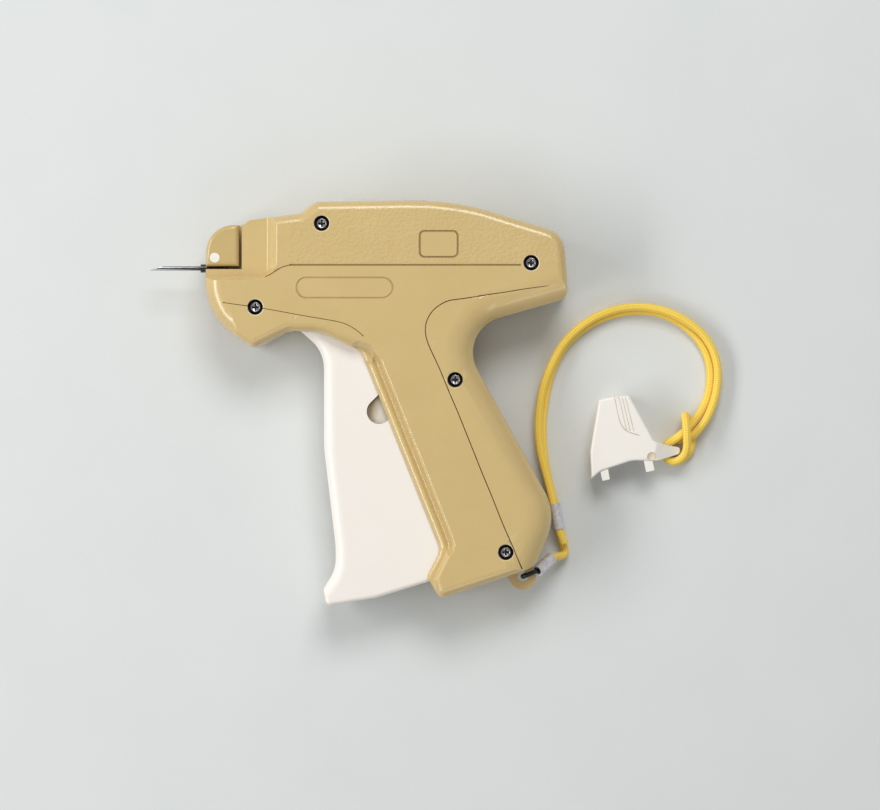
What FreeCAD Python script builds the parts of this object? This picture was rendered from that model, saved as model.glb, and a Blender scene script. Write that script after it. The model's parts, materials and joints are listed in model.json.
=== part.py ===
import FreeCAD, Part
import math
import os
from FreeCAD import Vector

# Garment tag attacher, lying on its right side.
# X runs from the needle to the tail, Y up the grip, Z out of the left side.
# The origin is on the rest face, under the grip screw that the drive lever turns on.

doc = FreeCAD.newDocument("garment_tag_attacher")
sheet = doc.addObject("Spreadsheet::Sheet", "Sizes")

SIZES = [
    # housing
    ("gun_length", 127.5),
    ("gun_height", 143.0),
    ("gun_thickness", 27.0),
    ("nose_thickness", 17.0),
    ("lip_thickness", 19.6),
    ("housing_wall", 2.0),
    ("edge_round", 3.4),
    ("back_roll_width", 10.0),
    ("back_roll_depth", 6.0),
    ("bead_width", 1.8),
    ("bead_depth", 1.4),
    ("nose_round", 1.6),
    ("groove_depth", 0.45),
    ("groove_width", 0.7),
    ("running_gap", 0.05),
    ("part_gap", 0.3),
    ("overrun", 4.0),
    # screws and bosses
    ("screw_head_radius", 1.8),
    ("screw_head_height", 1.6),
    ("screw_shank_radius", 1.2),
    ("screw_sink", 1.7),
    ("screw_recess_radius", 2.7),
    ("cross_length", 2.4),
    ("cross_width", 0.55),
    ("cross_depth", 0.8),
    ("boss_radius", 3.0),
    ("pivot_boss_radius", 4.0),
    # nose, needle and lock
    ("needle_radius", 0.75),
    ("needle_bore_radius", 0.5),
    ("needle_tail_radius", 0.65),
    ("needle_reach", 20.6),
    ("needle_slot_width", 0.35),
    ("bevel_length", 5.0),
    ("hub_radius", 2.3),
    ("hub_neck_radius", 1.4),
    ("hub_length", 7.0),
    ("hub_collar_length", 2.4),
    ("hub_collar_radius", 1.5),
    ("neck_length", 4.4),
    ("slit_width", 1.1),
    ("filament_slot_width", 1.0),
    ("clip_channel_width", 2.4),
    ("lock_shaft_radius", 1.75),
    ("lock_arm_length", 9.0),
    ("lock_arm_width", 4.0),
    ("lock_arm_thickness", 2.0),
    ("lock_flat", 1.1),
    ("cutter_thickness", 0.5),
    ("cutter_width", 4.0),
    ("cutter_height", 5.0),
    # trigger and its pins
    ("trigger_width", 15.0),
    ("trigger_web", 1.8),
    ("trigger_round", 1.6),
    ("front_roll_width", 4.2),
    ("front_roll_depth", 3.0),
    ("window_depth", 1.3),
    ("pivot_pin_radius", 1.5),
    ("cross_pin_radius", 2.0),
    ("cross_pin_length", 13.2),
    # drive lever and spring
    ("lever_thickness", 6.0),
    ("lever_hub_radius", 6.0),
    ("lever_arm_width", 7.0),
    ("knob_radius", 2.5),
    ("knob_length", 11.6),
    ("slot_gap", 0.35),
    ("slot_rim", 2.6),
    ("spring_reach", 14.0),
    ("spring_wire", 0.7),
    ("spring_post_radius", 1.2),
    # plunger and rod
    ("room_ahead", 7.8),
    ("room_behind", 6.0),
    ("plunger_front_wall", 4.0),
    ("plunger_back_wall", 2.2),
    ("plunger_width", 12.4),
    ("rod_radius", 0.4),
    ("rod_sleeve_radius", 1.3),
    ("rod_sleeve_length", 30.0),
    # feed
    ("wheel_radius", 6.0),
    ("wheel_thickness", 3.2),
    ("tooth_depth", 1.1),
    ("tooth_count", 12),
    ("pawl_thickness", 1.6),
    ("check_thickness", 0.5),
    ("check_width", 3.0),
    # heel lug
    ("lug_radius", 4.7),
    ("lug_hole_radius", 1.9),
    ("lug_thickness", 4.0),
    # lanyard
    ("cord_diameter", 3.0),
    ("ferrule_length", 9.2),
    ("ferrule_width", 3.8),
    ("ferrule_height", 7.0),
    ("ferrule_wall", 0.4),
    ("lower_ferrule_length", 8.6),
    ("lower_ferrule_radius", 2.1),
    ("loop_wire", 1.6),
    # needle cap
    ("cap_width", 23.0),
    ("cap_height", 29.5),
    ("cap_place_x", 60.35),
    ("cap_place_y", -20.2),
    ("cap_thickness", 11.0),
    ("cap_wall", 1.6),
    ("cap_round", 0.8),
    ("tab_thickness", 6.0),
    ("tab_slot_width", 3.4),
    ("tab_slot_floor", 0.8),
    ("tab_slot_height", 6.3),
    ("peg_width", 2.7),
]

for row, (alias, value) in enumerate(SIZES, start=1):
    sheet.set(f"A{row}", alias)
    sheet.set(f"B{row}", str(value))
    sheet.setAlias(f"B{row}", alias)
doc.recompute()


def size(name):
    return float(getattr(sheet, name))


# Degrees: how far the trigger is squeezed, and how far the lever leans at each end.
TRIGGER_SWING = 22.0
LEVER_LEAN = 22.25

# Shares of gun_length and gun_height, counted from the grip screw.
HINGE_SHARES = (-0.4455, 0.1688)
CROSS_PIN_SHARES = (-0.1176, -0.3147)
ELBOW_SHARES = (-0.0120, 0.0980)
SPRING_POST_SHARES = (0.2431, 0.2322)
NEEDLE_HEIGHT_SHARE = 0.2769
PLUNGER_HALF_SHARE = 0.0420
NOSE_FRONT_SHARE = -0.689
SLOT_SHARE = -0.5941
CLIP_SHARES = (-0.6321, -0.5569)
LOCK_SHARES = (-0.6651, 0.3014)
HEEL_LUG_SHARES = (0.1892, -0.4881)
SCREW_SHARES = {
    "front": (-0.5510, 0.1785),
    "top": (-0.3680, 0.3845),
    "tail": (0.2096, 0.2875),
    "grip": (0.0, 0.0),
    "heel": (0.1398, -0.4243),
}

# Corners of the housing seen from the left side: x share, y share, radius share.
HOUSING_SHARES = [
    (-0.6891, 0.3823, 0.0752),
    (-0.5820, 0.3823, 0.0170),
    (-0.5700, 0.3935, 0.0170),
    (-0.4260, 0.4096, 0.0390),
    (-0.3870, 0.4382, 0.0334),
    (-0.0084, 0.4437, 0.7800),
    (0.3007, 0.3595, 0.0668),
    (0.3127, 0.2021, 0.0330),
    (0.0008, 0.1229, 0.1002),
    (0.2826, -0.3314, 0.1448),
    (0.2200, -0.4618, 0.0613),
    (-0.0418, -0.5395, 0.0170),
    (-0.0780, -0.4841, 0.0110),
    (-0.0404, -0.4196, 0.0400),
    (-0.2603, 0.0713, 0.0500),
    (-0.3703, 0.1167, 0.1000),
    (-0.4594, 0.1209, 0.0560),
    (-0.5570, 0.0780, 0.0160),
    (-0.6905, 0.1604, 0.1782),
]

# Lower edge of the flank where it slopes to the lip, and the same edge at full height.
LIP_FOOT_SHARES = [
    (-0.4000, -0.60, 0.0),
    (-0.4000, 0.0100, 0.0),
    (-0.3050, 0.0740, 0.0150),
    (-0.2700, 0.0780, 0.0200),
    (-0.2342, 0.0700, 0.0400),
    (-0.0200, -0.4130, 0.0300),
    (-0.0600, -0.4900, 0.0150),
    (-0.0500, -0.60, 0.0),
]
LIP_CREST_SHARES = [
    (-0.4200, -0.60, 0.0),
    (-0.4200, 0.0200, 0.0),
    (-0.3150, 0.0860, 0.0150),
    (-0.2680, 0.0980, 0.0300),
    (-0.2206, 0.0850, 0.0600),
    (-0.0010, -0.4120, 0.0400),
    (-0.0440, -0.4880, 0.0150),
    (-0.0300, -0.60, 0.0),
]
# How a step rises across its width, and the angles of a rounded-over edge.
STEP_PROFILE = [(0.0, 0.0), (0.18, 0.08), (0.38, 0.32), (0.62, 0.68), (0.82, 0.92), (1.0, 1.0)]
ROLL_DEGREES = (80, 60, 40, 20, 0)
ROUNDING_ROOM = 1.001
# Air beside the grip's back and the tail's underside, and beside the grip's front.
BACK_AIR_SHARES = [
    (0.5000, -0.5922, 0.0),
    (0.1574, -0.5922, 0.0),
    (0.2826, -0.3314, 0.1448),
    (0.0008, 0.1229, 0.1002),
    (0.5000, 0.2497, 0.0),
]
FRONT_AIR_SHARES = [
    (-0.3700, -0.6500, 0.0),
    (-0.3700, -0.0500, 0.0),
    (-0.3043, 0.0895, 0.0),
    (-0.2603, 0.0713, 0.0500),
    (-0.0404, -0.4196, 0.0400),
    (-0.1500, -0.6076, 0.0),
]

NOSE_FOOT_SHARES = [
    (-0.80, 0.60, 0.0),
    (-0.80, 0.2560, 0.0),
    (-0.5380, 0.2560, 0.0200),
    (-0.5230, 0.2700, 0.0200),
    (-0.5230, 0.60, 0.0),
]
NOSE_CREST_SHARES = [
    (-0.80, 0.60, 0.0),
    (-0.80, 0.2440, 0.0),
    (-0.5330, 0.2440, 0.0400),
    (-0.4880, 0.2800, 0.0400),
    (-0.4880, 0.60, 0.0),
]

# Trigger seen from the left side.
TRIGGER_SHARES = [
    (-0.4789, 0.2010, 0.0300),
    (-0.4789, 0.1580, 0.0250),
    (-0.3633, 0.0707, 0.1050),
    (-0.3633, -0.1688, 0.4000),
    (-0.3312, -0.4100, 0.1500),
    (-0.3305, -0.4680, 0.1000),
    (-0.3645, -0.5157, 0.0140),
    (-0.3570, -0.5590, 0.0150),
    (-0.2150, -0.5380, 0.2000),
    (-0.0280, -0.4860, 0.0200),
    (-0.0270, -0.4000, 0.0500),
    (-0.0420, -0.3000, 0.0600),
    (-0.0627, -0.1993, 0.0300),
    (-0.1333, -0.1783, 0.0300),
    (-0.1600, -0.1200, 0.0500),
    (-0.1560, 0.0007, 0.0400),
    (-0.2050, 0.0640, 0.0300),
    (-0.4102, 0.1500, 0.0300),
    (-0.4102, 0.2010, 0.0300),
]
# Air ahead of the trigger, beside its rounded front.
TRIGGER_AIR_SHARES = [
    (-0.6000, -0.6200, 0.0),
    (-0.6000, 0.2475, 0.0),
    (-0.3633, 0.0707, 0.1050),
    (-0.3633, -0.1688, 0.4000),
    (-0.3312, -0.4100, 0.1500),
    (-0.3305, -0.4680, 0.1000),
    (-0.4388, -0.6200, 0.0),
]
# Cavity between the trigger's webs.
TRIGGER_CAVITY_SHARES = [
    (-0.3400, 0.1700, 0.0),
    (-0.3400, -0.1740, 0.2000),
    (-0.3050, -0.4300, 0.0600),
    (-0.3300, -0.5180, 0.0200),
    (-0.2100, -0.5140, 0.0600),
    (-0.1500, -0.4920, 0.0100),
    (-0.1320, -0.5600, 0.0),
    (0.1000, -0.5600, 0.0),
    (0.1000, 0.1700, 0.0),
]
# Deeper hollow in each half, between the rows of screws.
HOLLOW_SHARES = [
    (-0.3216, 0.1678, 0.0200),
    (-0.3216, 0.3881, 0.0200),
    (-0.0392, 0.3951, 0.0200),
    (0.2510, 0.3182, 0.0200),
    (0.2588, 0.2343, 0.0200),
    (0.0784, 0.1923, 0.0200),
    (0.0000, 0.1189, 0.0200),
    (0.0157, 0.0420, 0.0200),
    (0.1020, -0.1189, 0.0200),
    (0.2039, -0.3147, 0.0200),
    (0.1725, -0.3986, 0.0200),
    (0.0627, -0.4615, 0.0100),
    (0.0078, -0.4615, 0.0100),
    (-0.0078, -0.3636, 0.0200),
    (-0.1333, -0.0909, 0.0200),
    (-0.2039, 0.0559, 0.0200),
]
CAVITY_FRONT_SHARE = -0.470
# Room in the housing for the trigger's webs.
PASSAGE_SHARES = [
    (-0.4859, 0.2082, 0.0380),
    (-0.4859, 0.1527, 0.0300),
    (-0.4288, 0.1043, 0.0),
    (-0.4288, -0.4990, 0.0),
    (-0.0223, -0.4990, 0.0150),
    (0.2088, -0.3724, 0.0),
    (0.0500, 0.0, 0.0),
    (-0.1500, 0.2082, 0.0),
]
# Ends of the channels and pockets round the feed, and places clear of the gun's outline.
CHANNEL_FLOOR_SHARE = -0.10
GUIDE_END_SHARE = -0.40
CHECK_END_SHARE = -0.4780
PAWL_SHARES = (0.1120, 0.1820, 0.1430)
ABOVE_SHARE = 0.60
AHEAD_SHARE = -0.80
WINDOW_RADIUS_SHARE = 0.0345
WINDOW_SHARES = (-0.2102, -0.0782)

# Needle cap, in shares of its own width and height, from its middle.
CAP_SHARES = [
    (-0.392, 0.449, 0.050),
    (-0.163, 0.486, 0.300),
    (0.075, 0.498, 0.060),
    (0.459, -0.048, 0.050),
    (0.452, -0.286, 0.0),
    (0.120, -0.285, 0.450),
    (-0.366, -0.410, 0.300),
    (-0.508, -0.506, 0.0),
    (-0.528, -0.180, 0.300),
]
TAB_SHARES = [
    (0.602, -0.0915, 0.200),
    (0.876, -0.131, 0.045),
    (0.857, -0.207, 0.045),
    (0.502, -0.288, 0.300),
]
TAB_SLOT_SHARE = 0.646
PEG_SHARES = [
    [(-0.393, -0.359, 0.0), (-0.267, -0.339, 0.0), (-0.228, -0.512, 0.0), (-0.341, -0.532, 0.0)],
    [(0.285, -0.241, 0.0), (0.415, -0.224, 0.0), (0.463, -0.403, 0.0), (0.337, -0.427, 0.0)],
]
MOUTH_SHARES = [(-0.400, -0.080), (0.380, -0.620)]

# Bare name plate and panel marks on the flank.
OVAL_SHARES = (-0.3048, 0.2259)
OVAL_SPAN_SHARES = (0.1351, 0.0273)
PANEL_SHARES = (-0.0454, 0.3337)
PANEL_SPAN_SHARES = (0.0550, 0.0343)
GROOVE_SHARES = (-0.4566, 0.1810, 0.2820)


def place(shares):
    """A point on the gun, from its shares of the length and the height."""
    return Vector(size("gun_length") * shares[0], size("gun_height") * shares[1], 0)


def corners(shares):
    """Corners of an outline in millimetres: point and rounding radius."""
    return [(place(entry), size("gun_length") * entry[2]) for entry in shares]


def inset(outline, distance):
    """The same outline, each side moved inwards by one distance."""
    moved = []
    count = len(outline)
    for index, (point, radius) in enumerate(outline):
        before = outline[index - 1][0]
        after = outline[(index + 1) % count][0]
        first = (point - before).normalize()
        second = (after - point).normalize()
        side_one = Vector(first.y, -first.x, 0)
        side_two = Vector(second.y, -second.x, 0)
        middle = side_one + side_two
        reach = distance / (1 + side_one.dot(side_two))
        turn = first.x * second.y - first.y * second.x
        new_radius = radius - distance if turn < 0 else radius + distance
        moved.append((point + middle * reach, max(new_radius, 0)))
    return moved


def fitted(outline):
    """The same outline, with no two neighbouring roundings longer than the side between them."""
    count = len(outline)
    trims = []
    for index, (point, radius) in enumerate(outline):
        before = outline[index - 1][0] - point
        after = outline[(index + 1) % count][0] - point
        trims.append(radius / math.tan(before.getAngle(after) / 2))
    shares = [1.0] * count
    for index in range(count):
        after = (index + 1) % count
        side = (outline[after][0] - outline[index][0]).Length
        needed = (trims[index] + trims[after]) * ROUNDING_ROOM
        if needed > side:
            shares[index] = min(shares[index], side / needed)
            shares[after] = min(shares[after], side / needed)
    return [(point, radius * share) for (point, radius), share in zip(outline, shares)]


def outline_edges(outline):
    """Lines and tangent arcs that round each corner of a closed outline."""
    stations = []
    outline = fitted(outline)
    count = len(outline)
    for index, (point, radius) in enumerate(outline):
        before = (outline[index - 1][0] - point).normalize()
        after = (outline[(index + 1) % count][0] - point).normalize()
        half = before.getAngle(after) / 2
        if radius == 0 or half > math.radians(89.5):
            stations.append((point, None, point))
            continue
        trim = radius / math.tan(half)
        bisector = (before + after).normalize()
        centre = point + bisector * (radius / math.sin(half))
        stations.append((point + before * trim, centre - bisector * radius, point + after * trim))
    edges = []
    for index, (start, middle, end) in enumerate(stations):
        if middle is not None:
            edges.append(Part.Arc(start, middle, end))
        next_start = stations[(index + 1) % count][0]
        if end.distanceToPoint(next_start) > 1e-6:
            edges.append(Part.LineSegment(end, next_start))
    return edges


def sketch(name, outline, level):
    """A sketch of one closed outline, at a height given by an expression."""
    drawing = doc.addObject("Sketcher::SketchObject", name)
    given_edges = not isinstance(outline[0], tuple)
    drawing.addGeometry(outline if given_edges else outline_edges(outline), False)
    drawing.setExpression("Placement.Base.z", level)
    return drawing


def slab(name, outline, low, high):
    """A plate with one outline between two heights."""
    plate = doc.addObject("Part::Extrusion", name)
    plate.Base = sketch(name + "Outline", outline, low)
    plate.DirMode = "Custom"
    plate.Dir = Vector(0, 0, 1)
    plate.Solid = True
    plate.setExpression("LengthFwd", f"({high}) - ({low})")
    return plate


def capsule(start, end, half):
    """Corners of a bar with round ends between two points."""
    along = (end - start).normalize() * half
    across = Vector(along.y, -along.x, 0)
    ends = (start - along - across, end + along - across, end + along + across, start - along + across)
    return [(point, half) for point in ends]


def bent_capsule(start, middle, end, half):
    """Edges of a bar with round ends along the arc through three points."""
    circle = Part.Arc(start, middle, end).toShape().Curve
    centre = circle.Center

    def beside(point, reach):
        return centre + (point - centre).normalize() * (circle.Radius + reach)

    def tip(point):
        spoke = (point - centre).normalize()
        along = Vector(-spoke.y, spoke.x, 0)
        return point + along * (half if along.dot(middle - point) < 0 else -half)

    return [
        Part.Arc(beside(start, half), beside(middle, half), beside(end, half)),
        Part.Arc(beside(end, half), tip(end), beside(end, -half)),
        Part.Arc(beside(end, -half), beside(middle, -half), beside(start, -half)),
        Part.Arc(beside(start, -half), tip(start), beside(start, half)),
    ]


def lofted(name, sections):
    """A solid through like outlines, each at its own height."""
    loft = doc.addObject("Part::Loft", name)
    loft.Sections = [sketch(f"{name}Level{number}", outline, level)
                     for number, (outline, level) in enumerate(sections)]
    loft.Solid = True
    loft.Ruled = True
    return loft


def sloped_tool(name, foot, crest, low, high):
    """A solid between two like outlines at two heights, with softly curved sides."""
    sections = []
    for across, rise in STEP_PROFILE:
        outline = [
            (start + (end - start) * across, start_round + (end_round - start_round) * across)
            for (start, start_round), (end, end_round) in zip(foot, crest)
        ]
        sections.append((outline, f"{low} + ({high} - ({low})) * {rise}"))
    return lofted(name, sections)


def roll_tool(name, air, width, depth, level, way):
    """What a rounded-over edge takes away, beside an outline of the air next to it."""
    sections = []
    for degrees in ROLL_DEGREES:
        turn = math.radians(degrees)
        outline = inset(corners(air), -size(width) * (1 - math.sin(turn)))
        sections.append((outline, f"{level} {way} Sizes.{depth} * {1 - math.cos(turn)}"))
    return lofted(name, sections)


def rod(name, radius, low, high, x="0", y="0"):
    """A round bar along Z."""
    bar = doc.addObject("Part::Cylinder", name)
    bar.setExpression("Radius", radius)
    bar.setExpression("Height", f"({high}) - ({low})")
    bar.setExpression("Placement.Base.x", x)
    bar.setExpression("Placement.Base.y", y)
    bar.setExpression("Placement.Base.z", low)
    return bar


def long_rod(name, radius, start, end, y, z):
    """A round bar along X."""
    bar = doc.addObject("Part::Cylinder", name)
    bar.Placement.Rotation = FreeCAD.Rotation(Vector(0, 1, 0), 90)
    bar.setExpression("Radius", radius)
    bar.setExpression("Height", f"({end}) - ({start})")
    bar.setExpression("Placement.Base.x", start)
    bar.setExpression("Placement.Base.y", y)
    bar.setExpression("Placement.Base.z", z)
    return bar


def block(name, x, y, z):
    """A box between two expressions on each axis."""
    brick = doc.addObject("Part::Box", name)
    for axis, length, (low, high) in (("x", "Length", x), ("y", "Width", y), ("z", "Height", z)):
        brick.setExpression(length, f"({high}) - ({low})")
        brick.setExpression("Placement.Base." + axis, low)
    return brick


def union(name, shapes):
    joined = doc.addObject("Part::MultiFuse", name)
    joined.Shapes = shapes
    return joined


def cut(name, base, tools):
    """A solid with one or more tools taken away."""
    result = doc.addObject("Part::Cut", name)
    result.Base = base
    result.Tool = tools[0] if len(tools) == 1 else union(name + "Tools", tools)
    return result


def common(name, first, second):
    result = doc.addObject("Part::Common", name)
    result.Base = first
    result.Tool = second
    return result


def rounded(name, base, radius, chosen):
    """A solid with some edges rounded; chosen says which edges."""
    doc.recompute()
    picked = [
        (number, size(radius), size(radius))
        for number, edge in enumerate(base.Shape.Edges, start=1)
        if chosen(edge)
    ]
    result = doc.addObject("Part::Fillet", name)
    result.Base = base
    result.Edges = picked
    doc.recompute()
    return result


def at_height(level):
    """Chooses the edges that lie flat at one height."""
    def chosen(edge):
        box = edge.BoundBox
        return abs(box.ZMin - level) < 1e-6 and abs(box.ZMax - level) < 1e-6
    return chosen


def label(solid, node):
    solid.Label = node
    NODES.append(solid)
    return solid


def share_x(share):
    return f"Sizes.gun_length * {share}"


def share_y(share):
    return f"Sizes.gun_height * {share}"


NODES = []
PARTING = "Sizes.gun_thickness / 2"
TOP = "Sizes.gun_thickness"
NOSE_TOP = "Sizes.gun_thickness / 2 + Sizes.nose_thickness / 2"
NOSE_BASE = "Sizes.gun_thickness / 2 - Sizes.nose_thickness / 2"
LIP_TOP = "Sizes.gun_thickness / 2 + Sizes.lip_thickness / 2"
LIP_BASE = "Sizes.gun_thickness / 2 - Sizes.lip_thickness / 2"
NEEDLE_Y = share_y(NEEDLE_HEIGHT_SHARE)
housing = corners(HOUSING_SHARES)


def flank(side):
    """The outer form of one half of the housing, before its inside is cut."""
    near = side == "Left"
    low, high = (PARTING, TOP) if near else ("0", PARTING)
    face = size("gun_thickness") if near else 0
    plain = slab(side + "Blank", housing, low, high)
    soft = rounded(side + "Soft", plain, "edge_round", at_height(face))
    if near:
        nose = sloped_tool(side + "NoseStep", corners(NOSE_FOOT_SHARES), corners(NOSE_CREST_SHARES),
                           NOSE_TOP, TOP)
        lip = sloped_tool(side + "LipStep", corners(LIP_FOOT_SHARES), corners(LIP_CREST_SHARES), LIP_TOP, TOP)
    else:
        nose = sloped_tool(side + "NoseStep", corners(NOSE_CREST_SHARES), corners(NOSE_FOOT_SHARES),
                           "0", NOSE_BASE)
        lip = sloped_tool(side + "LipStep", corners(LIP_CREST_SHARES), corners(LIP_FOOT_SHARES), "0", LIP_BASE)
    way = "-" if near else "+"
    back = roll_tool(side + "BackRoll", BACK_AIR_SHARES, "back_roll_width", "back_roll_depth",
                     TOP if near else "0", way)
    bead = roll_tool(side + "Bead", FRONT_AIR_SHARES, "bead_width", "bead_depth",
                     LIP_TOP if near else LIP_BASE, way)
    return cut(side + "Flank", cut(side + "Stepped", cut(side + "Nosed", soft, [nose]), [lip]), [back, bead])


PASSAGE_TOP = "Sizes.gun_thickness / 2 + Sizes.trigger_width / 2 + Sizes.part_gap"
PASSAGE_BASE = "Sizes.gun_thickness / 2 - Sizes.trigger_width / 2 - Sizes.part_gap"
TRIGGER_TOP = "Sizes.gun_thickness / 2 + Sizes.trigger_width / 2"
TRIGGER_BASE = "Sizes.gun_thickness / 2 - Sizes.trigger_width / 2"
LEVER_TOP = "Sizes.gun_thickness / 2 + Sizes.lever_thickness / 2"
LEVER_BASE = "Sizes.gun_thickness / 2 - Sizes.lever_thickness / 2"
HEAD_SEAT = "Sizes.gun_thickness - Sizes.screw_sink - Sizes.screw_head_height"
SCREW_END = "Sizes.housing_wall * 2"
WHEEL_TOP = "Sizes.gun_thickness / 2 - Sizes.part_gap"
WHEEL_BASE = "Sizes.gun_thickness / 2 - Sizes.part_gap - Sizes.wheel_thickness"
NOSE_FRONT = share_x(NOSE_FRONT_SHARE)

hinge = place(HINGE_SHARES)
cross_pin = place(CROSS_PIN_SHARES)


def turned(point, pivot, degrees):
    """A point in the plane, turned about a pivot."""
    return FreeCAD.Rotation(Vector(0, 0, 1), degrees).multVec(point - pivot) + pivot


def pin_in_lever(share):
    """Where the cross pin is in the lever's own frame, at a share of the squeeze."""
    pulled = turned(cross_pin, hinge, TRIGGER_SWING * share)
    return turned(pulled, Vector(), -2 * LEVER_LEAN * share)


def screw_places():
    return {name: (share_x(x), share_y(y)) for name, (x, y) in SCREW_SHARES.items()}


def boss_split(name):
    """The height where the two bosses of one screw meet."""
    if name == "grip":
        return LEVER_TOP + " + Sizes.part_gap"
    return PARTING


def inner_outline():
    """The housing's outline behind the nose, moved inwards by the wall."""
    picked = HOUSING_SHARES[3:17]
    walls = [(CAVITY_FRONT_SHARE, picked[-1][1], 0.0), (CAVITY_FRONT_SHARE, picked[0][1], 0.0)]
    return inset(corners(picked[:-1] + walls), size("housing_wall"))


def shell(side):
    """One half of the housing."""
    near = side == "Left"
    form = flank(side)
    passage = (PARTING, PASSAGE_TOP) if near else (PASSAGE_BASE, PARTING)
    deep = (PARTING, "Sizes.gun_thickness - Sizes.housing_wall") if near else ("Sizes.housing_wall", PARTING)
    tools = [
        slab(side + "Cavity", inner_outline(), *passage),
        slab(side + "Hollow", corners(HOLLOW_SHARES), *deep),
        slab(side + "Passage", corners(PASSAGE_SHARES), *passage),
    ]
    if not near:
        lug_centre = place(HEEL_LUG_SHARES)
        web_end = place(SCREW_SHARES["heel"])
        ear = slab("HeelLug", capsule(lug_centre, web_end, size("lug_radius")),
                   f"{PARTING} - Sizes.lug_thickness", PARTING)
        form = union("RightWithLug", [form, ear])
        tools.append(rod("LugHole", "Sizes.lug_hole_radius", "0", TOP, share_x(HEEL_LUG_SHARES[0]),
                         share_y(HEEL_LUG_SHARES[1])))
    hollow = cut(side + "Hollowed", form, tools)

    bosses = []
    holes = []
    for name, (x, y) in screw_places().items():
        split = boss_split(name)
        radius = "Sizes.pivot_boss_radius" if name == "grip" else "Sizes.boss_radius"
        span = (split, "Sizes.gun_thickness - Sizes.housing_wall / 2") if near else (
            "Sizes.housing_wall / 2", split)
        bosses.append(rod(side + "Boss" + name, radius, *span, x, y))
        holes.append(rod(side + "ScrewHole" + name, "Sizes.screw_shank_radius + Sizes.running_gap",
                         SCREW_END, TOP, x, y))
        if near:
            holes.append(rod("Counterbore" + name, "Sizes.screw_recess_radius", HEAD_SEAT,
                             TOP + " + Sizes.overrun", x, y))
    if near:
        bosses.append(rod("SpringPost", "Sizes.spring_post_radius",
                          LEVER_TOP + " + Sizes.part_gap", "Sizes.gun_thickness - Sizes.housing_wall / 2",
                          share_x(SPRING_POST_SHARES[0]), share_y(SPRING_POST_SHARES[1])))
    carried = union(side + "Bossed", [hollow] + bosses)

    holes.append(rod(side + "HingeHole", "Sizes.pivot_pin_radius + Sizes.running_gap",
                     "Sizes.housing_wall", "Sizes.gun_thickness - Sizes.housing_wall",
                     share_x(HINGE_SHARES[0]), share_y(HINGE_SHARES[1])))
    holes.append(block(side + "ClipChannel", (share_x(CLIP_SHARES[0]), share_x(CLIP_SHARES[1])),
                       (share_y(CHANNEL_FLOOR_SHARE), share_y(ABOVE_SHARE)),
                       (PARTING + " - Sizes.clip_channel_width / 2", PARTING + " + Sizes.clip_channel_width / 2")))
    holes.append(long_rod(side + "HubChannel", "Sizes.hub_radius + Sizes.running_gap",
                          NOSE_FRONT + " - Sizes.overrun", share_x(CLIP_SHARES[0]) + " + Sizes.running_gap",
                          NEEDLE_Y, PARTING))
    holes.append(long_rod(side + "RodGuide", "Sizes.rod_radius + Sizes.running_gap * 2",
                          share_x(CLIP_SHARES[0]), share_x(GUIDE_END_SHARE), NEEDLE_Y, PARTING))
    holes.append(plunger_run(side))
    if near:
        holes.append(block("CoverSpace",
                           (share_x(AHEAD_SHARE), share_x(SLOT_SHARE) + " + Sizes.filament_slot_width / 2"),
                           (NEEDLE_Y + " - Sizes.slit_width / 2", share_y(ABOVE_SHARE)),
                           (PARTING, TOP + " + Sizes.overrun")))
        holes += marks()
    else:
        x, y = screw_places()["front"]
        disc = rod("WheelDisc", "Sizes.wheel_radius + Sizes.part_gap * 2", WHEEL_BASE + " - Sizes.part_gap",
                   PARTING, x, y)
        axle = rod("WheelAxle", "Sizes.boss_radius", "0", PARTING, x, y)
        holes.append(cut("WheelPocket", disc, [axle]))
        holes.append(block("PawlPocket", (x + " + Sizes.boss_radius * 1.4", share_x(HINGE_SHARES[0])),
                           (share_y(PAWL_SHARES[0]), share_y(PAWL_SHARES[1])),
                           (WHEEL_BASE + " - Sizes.part_gap", PARTING)))
        holes.append(block("CheckPocket", (x, share_x(CHECK_END_SHARE)),
                           (f"{y} + Sizes.wheel_radius", f"{y} + Sizes.wheel_radius + Sizes.check_thickness + "
                            "Sizes.part_gap * 2"),
                           (WHEEL_BASE + " - Sizes.part_gap", PARTING)))
        holes.append(rod("LockRecess", "Sizes.lock_arm_length + Sizes.lock_arm_width / 2 + Sizes.slot_gap",
                         "0 - Sizes.overrun", NOSE_BASE, share_x(LOCK_SHARES[0]), share_y(LOCK_SHARES[1])))
        holes.append(rod("LockHole", "Sizes.lock_shaft_radius + Sizes.running_gap", "0", PARTING,
                         share_x(LOCK_SHARES[0]), share_y(LOCK_SHARES[1])))
        holes.append(block("CutterPocket",
                           (share_x(CLIP_SHARES[0]) + " - Sizes.cutter_thickness - Sizes.running_gap",
                            share_x(CLIP_SHARES[0]) + " + Sizes.running_gap"),
                           (NEEDLE_Y + " - Sizes.cutter_height - Sizes.hub_radius - Sizes.part_gap * 2",
                            NEEDLE_Y),
                           (PARTING + " - Sizes.cutter_width - Sizes.running_gap", PARTING)))
    return cut(side + "Shell", carried, holes)


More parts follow.
